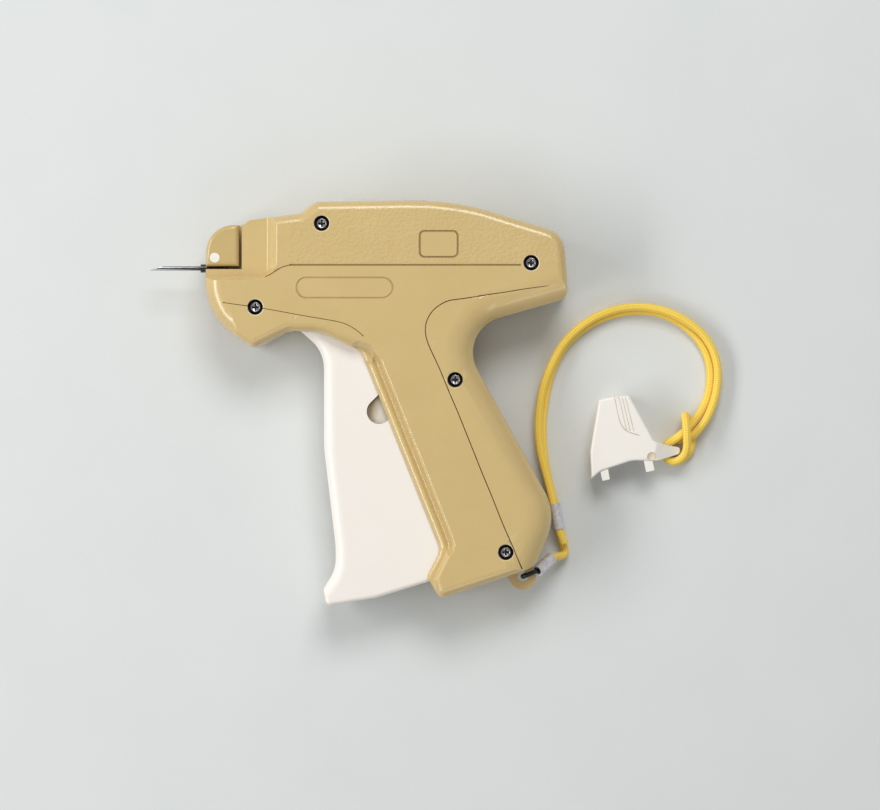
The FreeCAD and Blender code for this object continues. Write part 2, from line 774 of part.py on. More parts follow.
def marks():
    """Grooves, bare name plate and panel marks on the left flank."""
    floor = TOP + " - Sizes.groove_depth"
    above = TOP + " + Sizes.overrun"
    centre = place(OVAL_SHARES)
    half_long = size("gun_length") * OVAL_SPAN_SHARES[0]
    half_high = size("gun_height") * OVAL_SPAN_SHARES[1]
    oval = capsule(centre - Vector(half_long - half_high, 0, 0), centre + Vector(half_long - half_high, 0, 0),
                   half_high)
    plate = cut("NamePlate", slab("PlateRim", oval, floor, above),
                [slab("PlateField", inset_capsule(oval, size("groove_width")), floor + " - Sizes.overrun",
                      above + " + Sizes.overrun")])
    middle = place(PANEL_SHARES)
    wide = size("gun_length") * PANEL_SPAN_SHARES[0]
    high = size("gun_height") * PANEL_SPAN_SHARES[1]
    frame_corners = [
        (middle + Vector(-wide, high, 0), size("groove_width") * 3),
        (middle + Vector(wide, high, 0), size("groove_width") * 3),
        (middle + Vector(wide, -high, 0), size("groove_width") * 3),
        (middle + Vector(-wide, -high, 0), size("groove_width") * 3),
    ]
    panel = cut("PanelRim", slab("PanelOuter", frame_corners, floor, above),
                [slab("PanelInner", inset(frame_corners, size("groove_width")), floor + " - Sizes.overrun",
                      above + " + Sizes.overrun")])
    groove = block("FlankGroove", (share_x(GROOVE_SHARES[0]), share_x(GROOVE_SHARES[1])),
                   (share_y(GROOVE_SHARES[2]) + " - Sizes.groove_width / 2",
                    share_y(GROOVE_SHARES[2]) + " + Sizes.groove_width / 2"),
                   (floor, above))
    return [plate, panel, groove]


def inset_capsule(outline, distance):
    """A smaller bar with round ends inside another."""
    start = (outline[0][0] + outline[3][0]) / 2
    end = (outline[1][0] + outline[2][0]) / 2
    half = outline[0][1]
    along = (end - start).normalize() * half
    return capsule(start + along, end - along, half - distance)


def needle_cover():
    """The D-shaped front plate, above the slit and in front of the filament slot."""
    plate = slab("CoverPlate", housing, PARTING, NOSE_TOP)
    room = block("CoverRoom", (share_x(AHEAD_SHARE), share_x(SLOT_SHARE) + " - Sizes.filament_slot_width / 2"),
                 (NEEDLE_Y + " + Sizes.slit_width / 2", share_y(ABOVE_SHARE)), ("0", TOP))
    trimmed = common("CoverTrimmed", plate, room)
    soft = rounded("CoverSoft", trimmed, "nose_round", at_height(size("gun_thickness") / 2
                                                                 + size("nose_thickness") / 2))
    tools = [
        rod("CoverLockHole", "Sizes.lock_shaft_radius + Sizes.running_gap", "0", TOP,
            share_x(LOCK_SHARES[0]), share_y(LOCK_SHARES[1])),
        long_rod("CoverHubChannel", "Sizes.hub_radius + Sizes.running_gap", NOSE_FRONT + " - Sizes.overrun",
                 share_x(CLIP_SHARES[0]) + " + Sizes.running_gap", NEEDLE_Y, PARTING),
        block("CoverClipChannel", (share_x(CLIP_SHARES[0]), share_x(CLIP_SHARES[1])),
              (share_y(CHANNEL_FLOOR_SHARE), share_y(ABOVE_SHARE)),
              ("0", PARTING + " + Sizes.clip_channel_width / 2")),
    ]
    return cut("NeedleCover", soft, tools)


def screws():
    """Five pan-head screws with a cross recess, as one group."""
    group = []
    for name, (x, y) in screw_places().items():
        head = rod("Head" + name, "Sizes.screw_head_radius", HEAD_SEAT, HEAD_SEAT + " + Sizes.screw_head_height",
                   x, y)
        shank = rod("Shank" + name, "Sizes.screw_shank_radius", SCREW_END, HEAD_SEAT, x, y)
        whole = union("Screw" + name, [head, shank])
        bars = []
        for number, (half_x, half_y) in enumerate((("cross_length", "cross_width"), ("cross_width", "cross_length"))):
            bars.append(block(f"Cross{name}{number}",
                              (f"{x} - Sizes.{half_x} / 2", f"{x} + Sizes.{half_x} / 2"),
                              (f"{y} - Sizes.{half_y} / 2", f"{y} + Sizes.{half_y} / 2"),
                              (HEAD_SEAT + " + Sizes.screw_head_height - Sizes.cross_depth", TOP)))
        group.append(cut("Recessed" + name, whole, bars))
    bundle = doc.addObject("Part::Compound", "HousingScrews")
    bundle.Links = group
    return bundle


def needle():
    """A hollow needle with a slot along its side and a bevelled point."""
    tip = NOSE_FRONT + " - Sizes.needle_reach"
    back = NOSE_FRONT + " + Sizes.hub_length"
    collar = NOSE_FRONT + " - Sizes.hub_collar_length"
    tube = union("NeedleTube", [
        long_rod("NeedleFront", "Sizes.needle_radius", tip, collar, NEEDLE_Y, PARTING),
        long_rod("NeedleTail", "Sizes.needle_tail_radius", tip, back, NEEDLE_Y, PARTING),
    ])
    bore = long_rod("NeedleBore", "Sizes.needle_bore_radius", tip + " - Sizes.overrun",
                    back + " + Sizes.overrun", NEEDLE_Y, PARTING)
    slot = block("NeedleSlot", (tip + " - Sizes.overrun", back + " + Sizes.overrun"),
                 (NEEDLE_Y + " - Sizes.needle_slot_width / 2", NEEDLE_Y + " + Sizes.needle_slot_width / 2"),
                 (PARTING, TOP))
    bevel = doc.addObject("Part::Box", "NeedleBevel")
    bevel.setExpression("Length", "Sizes.bevel_length * 2")
    bevel.setExpression("Width", "Sizes.bevel_length")
    bevel.setExpression("Height", "Sizes.needle_radius * 4")
    bevel.setExpression("Placement.Rotation.Angle", "atan(2 * Sizes.needle_radius / Sizes.bevel_length)")
    bevel.setExpression("Placement.Base.x", tip)
    bevel.setExpression("Placement.Base.y", NEEDLE_Y + " - Sizes.needle_radius")
    bevel.setExpression("Placement.Base.z", PARTING + " - Sizes.needle_radius * 2")
    return cut("Needle", tube, [bore, slot, bevel])


def needle_hub():
    """The needle's moulded base, with a neck that the lock shaft holds."""
    front = NOSE_FRONT + " - Sizes.hub_collar_length"
    back = NOSE_FRONT + " + Sizes.hub_length"
    ring = "(Sizes.hub_length - Sizes.neck_length) / 2"
    parts = [
        long_rod("HubCollar", "Sizes.hub_collar_radius", front, NOSE_FRONT, NEEDLE_Y, PARTING),
        long_rod("HubFront", "Sizes.hub_radius", NOSE_FRONT, f"{NOSE_FRONT} + {ring} / 2", NEEDLE_Y, PARTING),
        long_rod("HubNeck", "Sizes.hub_neck_radius", NOSE_FRONT, back, NEEDLE_Y, PARTING),
        long_rod("HubBack", "Sizes.hub_radius", f"{back} - {ring}", back, NEEDLE_Y, PARTING),
    ]
    bore = long_rod("HubBore", "Sizes.needle_tail_radius + Sizes.running_gap", front + " - Sizes.overrun",
                    back + " + Sizes.overrun", NEEDLE_Y, PARTING)
    return cut("NeedleHub", union("HubBody", parts), [bore])


def needle_lock():
    """A shaft across the nose with a flat, and its arm on the far side."""
    x = share_x(LOCK_SHARES[0])
    y = share_y(LOCK_SHARES[1])
    arm_top = NOSE_BASE + " - Sizes.part_gap"
    arm_base = arm_top + " - Sizes.lock_arm_thickness"
    centre = place(LOCK_SHARES)
    arm = slab("LockArm", capsule(centre, centre + Vector(size("lock_arm_length"), 0, 0),
                                  size("lock_arm_width") / 2), arm_base, arm_top)
    shaft = rod("LockShaft", "Sizes.lock_shaft_radius", arm_base, NOSE_TOP, x, y)
    flat = block("LockFlat", (x + " - Sizes.overrun", x + " - Sizes.lock_flat"),
                 (y + " - Sizes.overrun", y + " + Sizes.overrun"),
                 (PARTING + " - Sizes.hub_radius", PARTING + " + Sizes.hub_radius"))
    return cut("NeedleLock", union("LockBody", [arm, shaft]), [flat])


def cutter():
    """The small blade beside the needle's back end."""
    edge = share_x(CLIP_SHARES[0])
    blade_top = NEEDLE_Y + " - Sizes.hub_radius - Sizes.part_gap"
    return block("Cutter", (edge + " - Sizes.cutter_thickness", edge),
                 (blade_top + " - Sizes.cutter_height", blade_top),
                 (PARTING + " - Sizes.cutter_width", PARTING + " - Sizes.running_gap"))


def trigger():
    """A channel with a round front, a pivot ear and a teardrop recess in its left web."""
    blank = slab("TriggerBlank", corners(TRIGGER_SHARES), TRIGGER_BASE, TRIGGER_TOP)
    half = size("trigger_width") / 2
    middle = size("gun_thickness") / 2
    top_edges = at_height(middle + half)
    low_edges = at_height(middle - half)
    soft = rounded("TriggerSoft", blank, "trigger_round", lambda edge: top_edges(edge) or low_edges(edge))
    window = size("gun_length") * WINDOW_RADIUS_SHARE
    reach = window * math.sqrt(2)
    eye = place(WINDOW_SHARES)
    drop = [
        (eye + Vector(0, reach, 0), 0),
        (eye + Vector(reach, 0, 0), window),
        (eye + Vector(0, -reach, 0), window),
        (eye + Vector(-reach, 0, 0), window),
    ]
    tools = [
        slab("TriggerCavity", corners(TRIGGER_CAVITY_SHARES), TRIGGER_BASE + " + Sizes.trigger_web",
             TRIGGER_TOP + " - Sizes.trigger_web"),
        roll_tool("TriggerRollLeft", TRIGGER_AIR_SHARES, "front_roll_width", "front_roll_depth", TRIGGER_TOP, "-"),
        roll_tool("TriggerRollRight", TRIGGER_AIR_SHARES, "front_roll_width", "front_roll_depth", TRIGGER_BASE, "+"),
        slab("TriggerWindow", drop, TRIGGER_TOP + " - Sizes.window_depth", TOP),
        rod("TriggerBore", "Sizes.pivot_pin_radius + Sizes.running_gap", "0", TOP, share_x(HINGE_SHARES[0]),
            share_y(HINGE_SHARES[1])),
        rod("TriggerSocket", "Sizes.cross_pin_radius + Sizes.running_gap",
            PARTING + " - Sizes.cross_pin_length / 2 - Sizes.running_gap",
            PARTING + " + Sizes.cross_pin_length / 2 + Sizes.running_gap", share_x(CROSS_PIN_SHARES[0]),
            share_y(CROSS_PIN_SHARES[1])),
    ]
    return cut("Trigger", soft, tools)


def knob_place():
    """Middle of the lever's knob at rest."""
    lean = math.radians(LEVER_LEAN)
    return Vector(math.sin(lean), math.cos(lean), 0) * size("gun_height") * NEEDLE_HEIGHT_SHARE


def spring_anchor():
    """Middle of the peg that holds the spring, on the lever's upper arm."""
    elbow = place(ELBOW_SHARES)
    return elbow + (knob_place() - elbow).normalize() * size("spring_reach")


def drive_lever():
    """A bent upper arm with a knob, and a lower arm with a cam slot, round the grip screw's boss."""
    knob = knob_place()
    elbow = place(ELBOW_SHARES)
    anchor = spring_anchor()
    track = [pin_in_lever(share) for share in (0, 0.5, 1)]
    groove = size("cross_pin_radius") + size("slot_gap")
    rim = groove + size("slot_rim")
    half = size("lever_arm_width") / 2
    parts = [
        rod("LeverHub", "Sizes.lever_hub_radius", LEVER_BASE, LEVER_TOP),
        slab("LeverElbowArm", capsule(Vector(), elbow, half), LEVER_BASE, LEVER_TOP),
        slab("LeverUpperArm", capsule(elbow, knob, half), LEVER_BASE, LEVER_TOP),
        slab("LeverLowerArm", capsule(Vector(), track[2], rim), LEVER_BASE, LEVER_TOP),
        slab("LeverCam", bent_capsule(*track, rim), LEVER_BASE, LEVER_TOP),
        rod("LeverKnob", "Sizes.knob_radius", PARTING + " - Sizes.knob_length / 2",
            PARTING + " + Sizes.knob_length / 2", f"{knob.x}", f"{knob.y}"),
        rod("LeverPeg", "Sizes.spring_post_radius", LEVER_TOP, PASSAGE_TOP + " - Sizes.part_gap",
            f"{anchor.x}", f"{anchor.y}"),
    ]
    tools = [
        rod("LeverBore", "Sizes.pivot_boss_radius + Sizes.running_gap", "0", TOP),
        slab("LeverSlot", bent_capsule(*track, groove), "0", TOP),
    ]
    return cut("DriveLever", union("LeverBody", parts), tools)


def return_spring():
    """An extension spring between the lever's peg and the housing's post, kept plain."""
    start = spring_anchor()
    end = place(SPRING_POST_SHARES)
    room = (size("trigger_width") - size("lever_thickness")) / 2 - size("part_gap") * 2
    radius = room / 2
    level = size("gun_thickness") / 2 + size("lever_thickness") / 2 + size("part_gap") * 2 + radius
    along = (end - start).normalize()
    ring = size("spring_post_radius") + size("running_gap")
    eye_radius = math.hypot(ring, radius - size("spring_wire") / 2)
    lift = Vector(0, 0, level)
    body_start = start + along * ring
    body_length = (end - start).Length - ring * 2
    coil = Part.makeCylinder(radius, body_length, body_start + lift, along)
    coil = coil.cut(Part.makeCylinder(radius - size("spring_wire"), body_length,
                                      body_start + lift, along))
    shape = coil
    for centre in (start, end):
        base = centre + lift - Vector(0, 0, size("spring_wire") / 2)
        eye = Part.makeCylinder(eye_radius, size("spring_wire"), base)
        shape = shape.fuse(eye)
    for centre in (start, end):
        base = centre + lift - Vector(0, 0, radius * 2)
        shape = shape.cut(Part.makeCylinder(ring, radius * 4, base))
    spring = doc.addObject("Part::Feature", "ReturnSpring")
    spring.Shape = shape.removeSplitter()
    return spring


def plunger_span():
    """Front and back of the plunger at rest."""
    knob = f"{knob_place().x}"
    return (f"{knob} - Sizes.room_ahead - Sizes.plunger_front_wall",
            f"{knob} + Sizes.room_behind + Sizes.plunger_back_wall")


def plunger_run(side):
    """The air that the plunger moves through, from rest to the full squeeze."""
    front, back = plunger_span()
    low, high = plunger_heights()
    stroke = f"{knob_place().x * 2}"
    return block(side + "PlungerRun", (f"{front} - {stroke} - Sizes.part_gap", f"{back} + Sizes.part_gap"),
                 (f"{low} - Sizes.part_gap", f"{high} + Sizes.part_gap"),
                 (PARTING + " - Sizes.plunger_width / 2 - Sizes.part_gap",
                  PARTING + " + Sizes.plunger_width / 2 + Sizes.part_gap"))


def plunger_heights():
    """Lower and upper edge of the plunger."""
    half = f"Sizes.gun_height * {PLUNGER_HALF_SHARE}"
    return f"{NEEDLE_Y} - {half}", f"{NEEDLE_Y} + {half}"


def plunger():
    """A fork that the lever's knob pushes along the needle's line."""
    knob = f"{knob_place().x}"
    front, back = plunger_span()
    low, high = plunger_heights()
    body = block("PlungerBlock", (front, back), (low, high),
                 (PARTING + " - Sizes.plunger_width / 2", PARTING + " + Sizes.plunger_width / 2"))
    tools = [
        block("LeverRoom", (f"{knob} - Sizes.room_ahead", f"{knob} + Sizes.room_behind"),
              (low + " - Sizes.overrun", high + " - Sizes.housing_wall"),
              (LEVER_BASE + " - Sizes.slot_gap", LEVER_TOP + " + Sizes.slot_gap")),
        block("KnobRoom", (f"{knob} - Sizes.knob_radius - Sizes.slot_gap",
                           f"{knob} + Sizes.knob_radius + Sizes.slot_gap"),
              (low + " - Sizes.overrun", NEEDLE_Y + " + Sizes.knob_radius + Sizes.slot_gap"),
              ("0", TOP)),
        long_rod("RodSocket", "Sizes.rod_sleeve_radius + Sizes.running_gap", front + " - Sizes.overrun",
                 front + " + Sizes.housing_wall", NEEDLE_Y, PARTING),
    ]
    return cut("Plunger", body, tools)


def push_rod():
    """A thin steel rod with a thicker sleeve that sits in the plunger."""
    front = plunger_span()[0]
    sleeve = long_rod("RodSleeve", "Sizes.rod_sleeve_radius", front + " - Sizes.rod_sleeve_length",
                      front + " + Sizes.housing_wall - Sizes.running_gap", NEEDLE_Y, PARTING)
    tip = long_rod("RodTip", "Sizes.rod_radius", share_x(CLIP_SHARES[1]),
                   front + " - Sizes.rod_sleeve_length", NEEDLE_Y, PARTING)
    return union("PushRod", [sleeve, tip])


def feed_wheel():
    """A ratchet wheel on the front screw's boss."""
    centre = place(SCREW_SHARES["front"])
    count = int(size("tooth_count"))
    teeth = []
    for number in range(count):
        for share, radius in ((0, size("wheel_radius")), (0.18, size("wheel_radius") - size("tooth_depth"))):
            angle = 2 * math.pi * (number + share) / count
            teeth.append((centre + Vector(math.cos(angle), math.sin(angle), 0) * radius, 0))
    wheel = slab("WheelTeeth", teeth[::-1], WHEEL_BASE, WHEEL_TOP)
    x, y = screw_places()["front"]
    bore = rod("WheelBore", "Sizes.boss_radius + Sizes.running_gap", "0", TOP, x, y)
    return cut("FeedWheel", wheel, [bore])


def feed_pawl():
    """The trigger's finger that indexes the wheel."""
    face = share_x(TRIGGER_SHARES[0][0])
    x, y = screw_places()["front"]
    return block("FeedPawl", (f"{x} + Sizes.wheel_radius - Sizes.part_gap", face),
                 (share_y(PAWL_SHARES[2]), share_y(PAWL_SHARES[2]) + " + Sizes.pawl_thickness"),
                 (WHEEL_TOP + " - Sizes.pawl_thickness * 1.5", WHEEL_TOP))


def check_spring():
    """A leaf beside the wheel that keeps it from turning back."""
    x, y = screw_places()["front"]
    low = f"{y} + Sizes.wheel_radius + Sizes.part_gap"
    return block("CheckSpring", (x, share_x(CHECK_END_SHARE) + " - Sizes.running_gap"),
                 (low, low + " + Sizes.check_thickness"),
                 (WHEEL_TOP + " - Sizes.check_width", WHEEL_TOP))


# Lanyard route in millimetres, chosen by hand: out of the lower ferrule, up through the
# upper ferrule, round to the knot and the cap's tab, and back to a cut end.
ARC_SHARE = 0.45
LOWER_FERRULE_LINE = [(29.2, -67.6, 15.4), (34.6, -63.1, 9.6)]
CORD_ROUTE = [
    (31.6, -65.6, 12.8), (35.3, -62.6, 8.7), (37.4, -63.2, 4.4), (39.7, -62.2, 1.9), (38.7, -58.0, 1.8),
    (37.4, -53.8, 1.8), (35.6, -43.4, 1.8), (33.3, -35.2, 1.5), (31.6, -25.0, 1.5), (31.3, -15.6, 1.5),
    (32.0, -8.5, 1.5), (33.2, -1.5, 1.5), (35.5, 5.6, 1.5), (39.4, 12.6, 1.5), (46.0, 18.7, 1.5),
    (53.9, 22.9, 1.5), (63.3, 25.0, 1.5), (71.7, 24.6, 1.5), (78.9, 21.9, 1.5), (85.3, 17.1, 1.5),
    (89.3, 11.8, 1.5), (91.4, 5.5, 1.5), (91.6, 0.1, 1.5), (90.7, -5.8, 1.5), (88.2, -11.2, 3.0),
    (84.7, -15.7, 4.8), (81.4, -19.0, 5.7), (78.2, -21.4, 5.5), (75.6, -22.8, 5.5), (75.2, -25.2, 5.5),
    (75.7, -28.6, 5.5), (79.0, -29.3, 5.6), (82.0, -27.0, 6.6), (82.9, -23.6, 8.0), (82.6, -19.4, 8.8),
    (82.4, -15.4, 8.0), (82.2, -12.9, 5.7), (82.5, -12.4, 2.6), (83.9, -14.6, 1.5), (85.1, -18.2, 1.5),
    (85.2, -22.6, 1.5), (83.8, -26.6, 1.9), (80.0, -29.4, 2.3), (75.7, -28.6, 2.4), (75.2, -25.2, 2.4),
    (75.6, -22.6, 2.3), (78.6, -21.3, 2.2), (81.7, -21.2, 2.8), (84.9, -20.0, 4.9), (87.6, -17.2, 5.1),
    (90.7, -12.9, 4.4), (93.1, -6.6, 3.4), (94.2, -0.1, 3.1), (94.0, 6.1, 3.3), (91.5, 13.0, 3.4),
    (86.7, 18.7, 3.8), (79.5, 23.3, 4.3), (71.9, 25.8, 4.4), (63.1, 26.6, 4.2), (53.3, 24.3, 4.3),
    (45.2, 19.7, 4.4), (38.6, 13.2, 4.5), (34.7, 6.0, 4.5), (31.8, -1.1, 4.3), (30.4, -8.3, 4.2),
    (29.7, -15.6, 4.2), (30.4, -25.2, 4.4), (33.1, -35.2, 4.7), (35.3, -43.6, 5.2), (37.4, -54.6, 5.2),
    (39.3, -58.4, 4.9),
]


def cord_path(points):
    """Straight runs joined by tangent arcs, and the radius of each arc."""
    runs = [(after - before).Length for before, after in zip(points, points[1:])]
    edges = []
    radii = []
    last = points[0]
    for before, here, after, first, second in zip(points, points[1:], points[2:], runs, runs[1:]):
        back = (before - here).normalize()
        ahead = (after - here).normalize()
        half = back.getAngle(ahead) / 2
        trim = ARC_SHARE * min(first, second)
        radius = trim * math.tan(half)
        bisector = (back + ahead).normalize()
        centre = here + bisector * (trim / math.cos(half))
        start = here + back * trim
        end = here + ahead * trim
        edges.append(Part.LineSegment(last, start).toShape())
        edges.append(Part.Arc(start, centre - bisector * radius, end).toShape())
        radii.append(radius)
        last = end
    edges.append(Part.LineSegment(last, points[-1]).toShape())
    return Part.Wire(edges), radii


def lanyard_cord():
    """The braided cord as a plain tube along its route."""
    points = [Vector(*point) for point in CORD_ROUTE]
    path, radii = cord_path(points)
    ring = Part.makeCircle(size("cord_diameter") / 2, points[0], points[1] - points[0])
    tube = path.makePipeShell([Part.Wire([ring])], True, False, 1)
    section = math.pi * size("cord_diameter") ** 2 / 4
    print("cord length", round(path.Length, 1), "volume over section times length",
          round(tube.Volume / (section * path.Length), 4))
    print("cord radii", [round(radius, 1) for radius in radii])
    cord = doc.addObject("Part::Feature", "LanyardCord")
    cord.Shape = tube
    return cord


def along_line(solid, start, end, up=Vector(0, 0, 1)):
    """Lays a piece that was made along Z between two points, its Y side towards up."""
    way = (end - start).normalize()
    side = up.cross(way).normalize()
    rise = way.cross(side)
    solid.Placement = FreeCAD.Placement(FreeCAD.Matrix(
        side.x, rise.x, way.x, start.x,
        side.y, rise.y, way.y, start.y,
        side.z, rise.z, way.z, start.z,
        0, 0, 0, 1))
    return solid


def upper_ferrule():
    """A flattened tube crimped round both strands."""
    before, after = (Vector(*point) for point in CORD_ROUTE[5:7])
    way = (after - before).normalize()
    middle = (before + after) / 2
    middle.z = size("ferrule_height") / 2
    half_length = size("ferrule_length") / 2
    half = size("ferrule_width") / 2
    rise = size("ferrule_height") / 2 - half
    outer = slab("FerruleOuter", capsule(Vector(0, -rise, 0), Vector(0, rise, 0), half), "0",
                 "Sizes.ferrule_length")
    inner = slab("FerruleInner",
                 capsule(Vector(0, -rise, 0), Vector(0, rise, 0), half - size("ferrule_wall")), "0",
                 "Sizes.ferrule_length")
    tube = cut("UpperFerrule", outer, [inner])
    return along_line(tube, middle - way * half_length, middle + way * half_length)


def lower_ferrule():
    """A round crimped tube that joins the cord to the loop."""
    start, end = (Vector(*point) for point in LOWER_FERRULE_LINE)
    outer = rod("LowerOuter", "Sizes.lower_ferrule_radius", "0", "Sizes.lower_ferrule_length")
    bore = rod("LowerBore", "Sizes.cord_diameter / 2", "0 - Sizes.overrun",
               "Sizes.lower_ferrule_length + Sizes.overrun")
    return along_line(cut("LowerFerrule", outer, [bore]), start, end)


def lanyard_loop():
    """The black loop through the heel lug, closed inside the lower ferrule."""
    lug = place(HEEL_LUG_SHARES)
    mouth = Vector(*LOWER_FERRULE_LINE[0])
    way = Vector(mouth.x - lug.x, mouth.y - lug.y, 0)
    reach = size("lug_radius") + size("loop_wire") / 2 + size("part_gap")
    low = size("gun_thickness") / 2 - size("lug_thickness") - size("loop_wire") / 2 - size("part_gap")
    high = size("gun_thickness") / 2 + size("loop_wire") * 1.5
    bend = size("loop_wire") * 1.2
    ring = [(Vector(0, low, 0), bend), (Vector(0, high, 0), bend), (Vector(reach, high, 0), bend),
            (Vector(reach, low, 0), bend)]
    path = Part.Wire([edge.toShape() for edge in outline_edges(ring)])
    begin = path.Edges[0].Vertexes[0].Point
    section = Part.makeCircle(size("loop_wire") / 2, begin, path.Edges[0].tangentAt(
        path.Edges[0].FirstParameter))
    loop = doc.addObject("Part::Feature", "LanyardLoop")
    loop.Shape = path.makePipeShell([Part.Wire([section])], True, False)
    way.normalize()
    side = way.cross(Vector(0, 0, 1))
    loop.Placement = FreeCAD.Placement(FreeCAD.Matrix(
        way.x, 0, side.x, lug.x,
        way.y, 0, side.y, lug.y,
        0, 1, 0, 0,
        0, 0, 0, 1))
    return loop


def cap_point(shares):
    """A point on the cap, from its shares of the cap's width and height."""
    return Vector(size("cap_place_x") + size("cap_width") * shares[0],
                  size("cap_place_y") + size("cap_height") * shares[1], 0)


def cap_corners(shares):
    return [(cap_point(entry), size("cap_width") * entry[2]) for entry in shares]


def tab_slope():
    """The air above the tab, which slopes down from the cap's flank to the tab's end."""
    near = cap_point(CAP_SHARES[3])
    far = cap_point(TAB_SHARES[1])
    top = size("cap_thickness")
    fall = (top - size("tab_thickness")) / (far.x - near.x)
    beyond = far.x + size("overrun")
    side = near.y - size("cap_height")
    profile = [Vector(near.x, side, top), Vector(beyond, side, top - fall * (beyond - near.x)),
               Vector(beyond, side, top + size("overrun")), Vector(near.x, side, top + size("overrun"))]
    air = doc.addObject("Part::Feature", "TabSlope")
    air.Shape = Part.Face(Part.makePolygon(profile + profile[:1])).extrude(Vector(0, size("cap_height") * 2, 0))
    return air


def needle_cap():
    """The hollow cap that covers the needle, lying beside the grip."""
    body = cap_corners(CAP_SHARES)
    form = body[:4] + cap_corners(TAB_SHARES) + body[5:]
    soft = rounded("CapSoft", slab("CapBlank", form, "0", "Sizes.cap_thickness"), "cap_round",
                   at_height(size("cap_thickness")))
    sloped = cut("CapSloped", soft, [tab_slope()])
    pegs = [slab(f"CapPeg{number}", cap_corners(shares), "Sizes.cap_thickness - Sizes.peg_width",
                 "Sizes.cap_thickness - Sizes.cap_wall / 2")
            for number, shares in enumerate(PEG_SHARES)]
    mouth = [cap_point(shares) for shares in MOUTH_SHARES]
    room = [(mouth[0], 0.0), (Vector(mouth[1].x, mouth[0].y, 0), 0.0), (mouth[1], 0.0),
            (Vector(mouth[0].x, mouth[1].y, 0), 0.0)]
    walls = ("Sizes.cap_wall", "Sizes.cap_thickness - Sizes.cap_wall")
    slot = cap_point((TAB_SLOT_SHARE, 0))
    tools = [
        slab("CapCavity", inset(body, size("cap_wall")), *walls),
        slab("CapMouth", room, *walls),
        block("TabSlot", (f"{slot.x} - Sizes.tab_slot_width / 2", f"{slot.x} + Sizes.tab_slot_width / 2"),
              (f"{slot.y} - Sizes.cap_height", f"{slot.y}"),
              ("Sizes.tab_slot_floor", "Sizes.tab_slot_floor + Sizes.tab_slot_height")),
    ]
    return cut("NeedleCap", union("CapForm", [sloped] + pegs), tools)


label(shell("Left"), "left_shell")
label(shell("Right"), "right_shell")
label(needle_cover(), "needle_cover")
label(screws(), "housing_screws")
label(needle(), "needle")
label(needle_hub(), "needle_hub")
label(needle_lock(), "needle_lock")
label(cutter(), "cutter_blade")
label(trigger(), "trigger")
label(rod("PivotPin", "Sizes.pivot_pin_radius", "Sizes.housing_wall + Sizes.running_gap",
          "Sizes.gun_thickness - Sizes.housing_wall - Sizes.running_gap", share_x(HINGE_SHARES[0]),
          share_y(HINGE_SHARES[1])), "trigger_pivot_pin")
label(rod("CrossPin", "Sizes.cross_pin_radius", PARTING + " - Sizes.cross_pin_length / 2",
          PARTING + " + Sizes.cross_pin_length / 2", share_x(CROSS_PIN_SHARES[0]),
          share_y(CROSS_PIN_SHARES[1])), "trigger_cross_pin")
label(drive_lever(), "drive_lever")
label(return_spring(), "return_spring")
label(plunger(), "plunger")
label(push_rod(), "push_rod")
label(feed_wheel(), "feed_wheel")
label(feed_pawl(), "feed_pawl")
label(check_spring(), "check_spring")
label(lanyard_cord(), "lanyard_cord")
label(upper_ferrule(), "upper_ferrule")
label(lower_ferrule(), "lower_ferrule")
label(lanyard_loop(), "lanyard_loop")
label(needle_cap(), "needle_cap")

doc.recompute()
failed = [piece.Name for piece in doc.Objects if "Invalid" in piece.State or "Error" in piece.State]
failed += [piece.Label for piece in NODES if piece.Shape.isNull() or not piece.Shape.isValid()]
if failed:
    raise RuntimeError("failed to build: " + ", ".join(failed))
os.makedirs("parts", exist_ok=True)
for piece in NODES:
    print(piece.Label, len(piece.Shape.Solids), round(piece.Shape.Volume, 1))
    piece.Shape.exportStep(f"parts/{piece.Label}.step")
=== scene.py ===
import json
import math

import bpy
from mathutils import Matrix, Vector


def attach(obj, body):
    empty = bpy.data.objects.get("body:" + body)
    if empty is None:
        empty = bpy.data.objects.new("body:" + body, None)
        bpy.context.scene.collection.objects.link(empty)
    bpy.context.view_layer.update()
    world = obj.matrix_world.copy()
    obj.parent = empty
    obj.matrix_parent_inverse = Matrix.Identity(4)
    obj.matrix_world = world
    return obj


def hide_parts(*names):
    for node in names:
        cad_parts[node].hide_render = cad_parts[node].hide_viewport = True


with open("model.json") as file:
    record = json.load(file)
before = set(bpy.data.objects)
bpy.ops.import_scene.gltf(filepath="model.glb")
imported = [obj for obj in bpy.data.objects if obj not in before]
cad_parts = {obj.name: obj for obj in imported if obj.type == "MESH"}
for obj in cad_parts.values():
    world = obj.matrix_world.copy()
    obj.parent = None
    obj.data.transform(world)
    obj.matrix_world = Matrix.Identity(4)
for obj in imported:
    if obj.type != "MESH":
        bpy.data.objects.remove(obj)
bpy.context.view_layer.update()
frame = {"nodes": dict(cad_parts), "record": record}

# The photograph's frame, and the real size of one of its pixels.
PHOTO_WIDE = 880
PHOTO_HIGH = 810
PIXEL = 0.000355
ORIGIN_PIXEL = (455, 380)
FLANK = 0.027
PARTING = 0.0135
CAMERA_HEIGHT = 1.30
SENSOR = 36.0


def spot(px, py, z=FLANK):
    """A place on the object from a place in the photograph."""
    return Vector(((px - ORIGIN_PIXEL[0]) * PIXEL, (ORIGIN_PIXEL[1] - py) * PIXEL, z))


def tone(red, green, blue):
    """A paint colour as it is seen, in the shader's own terms."""
    def channel(value):
        share = value / 255
        return share / 12.92 if share <= 0.04045 else ((share + 0.055) / 1.055) ** 2.4
    return (channel(red), channel(green), channel(blue), 1.0)


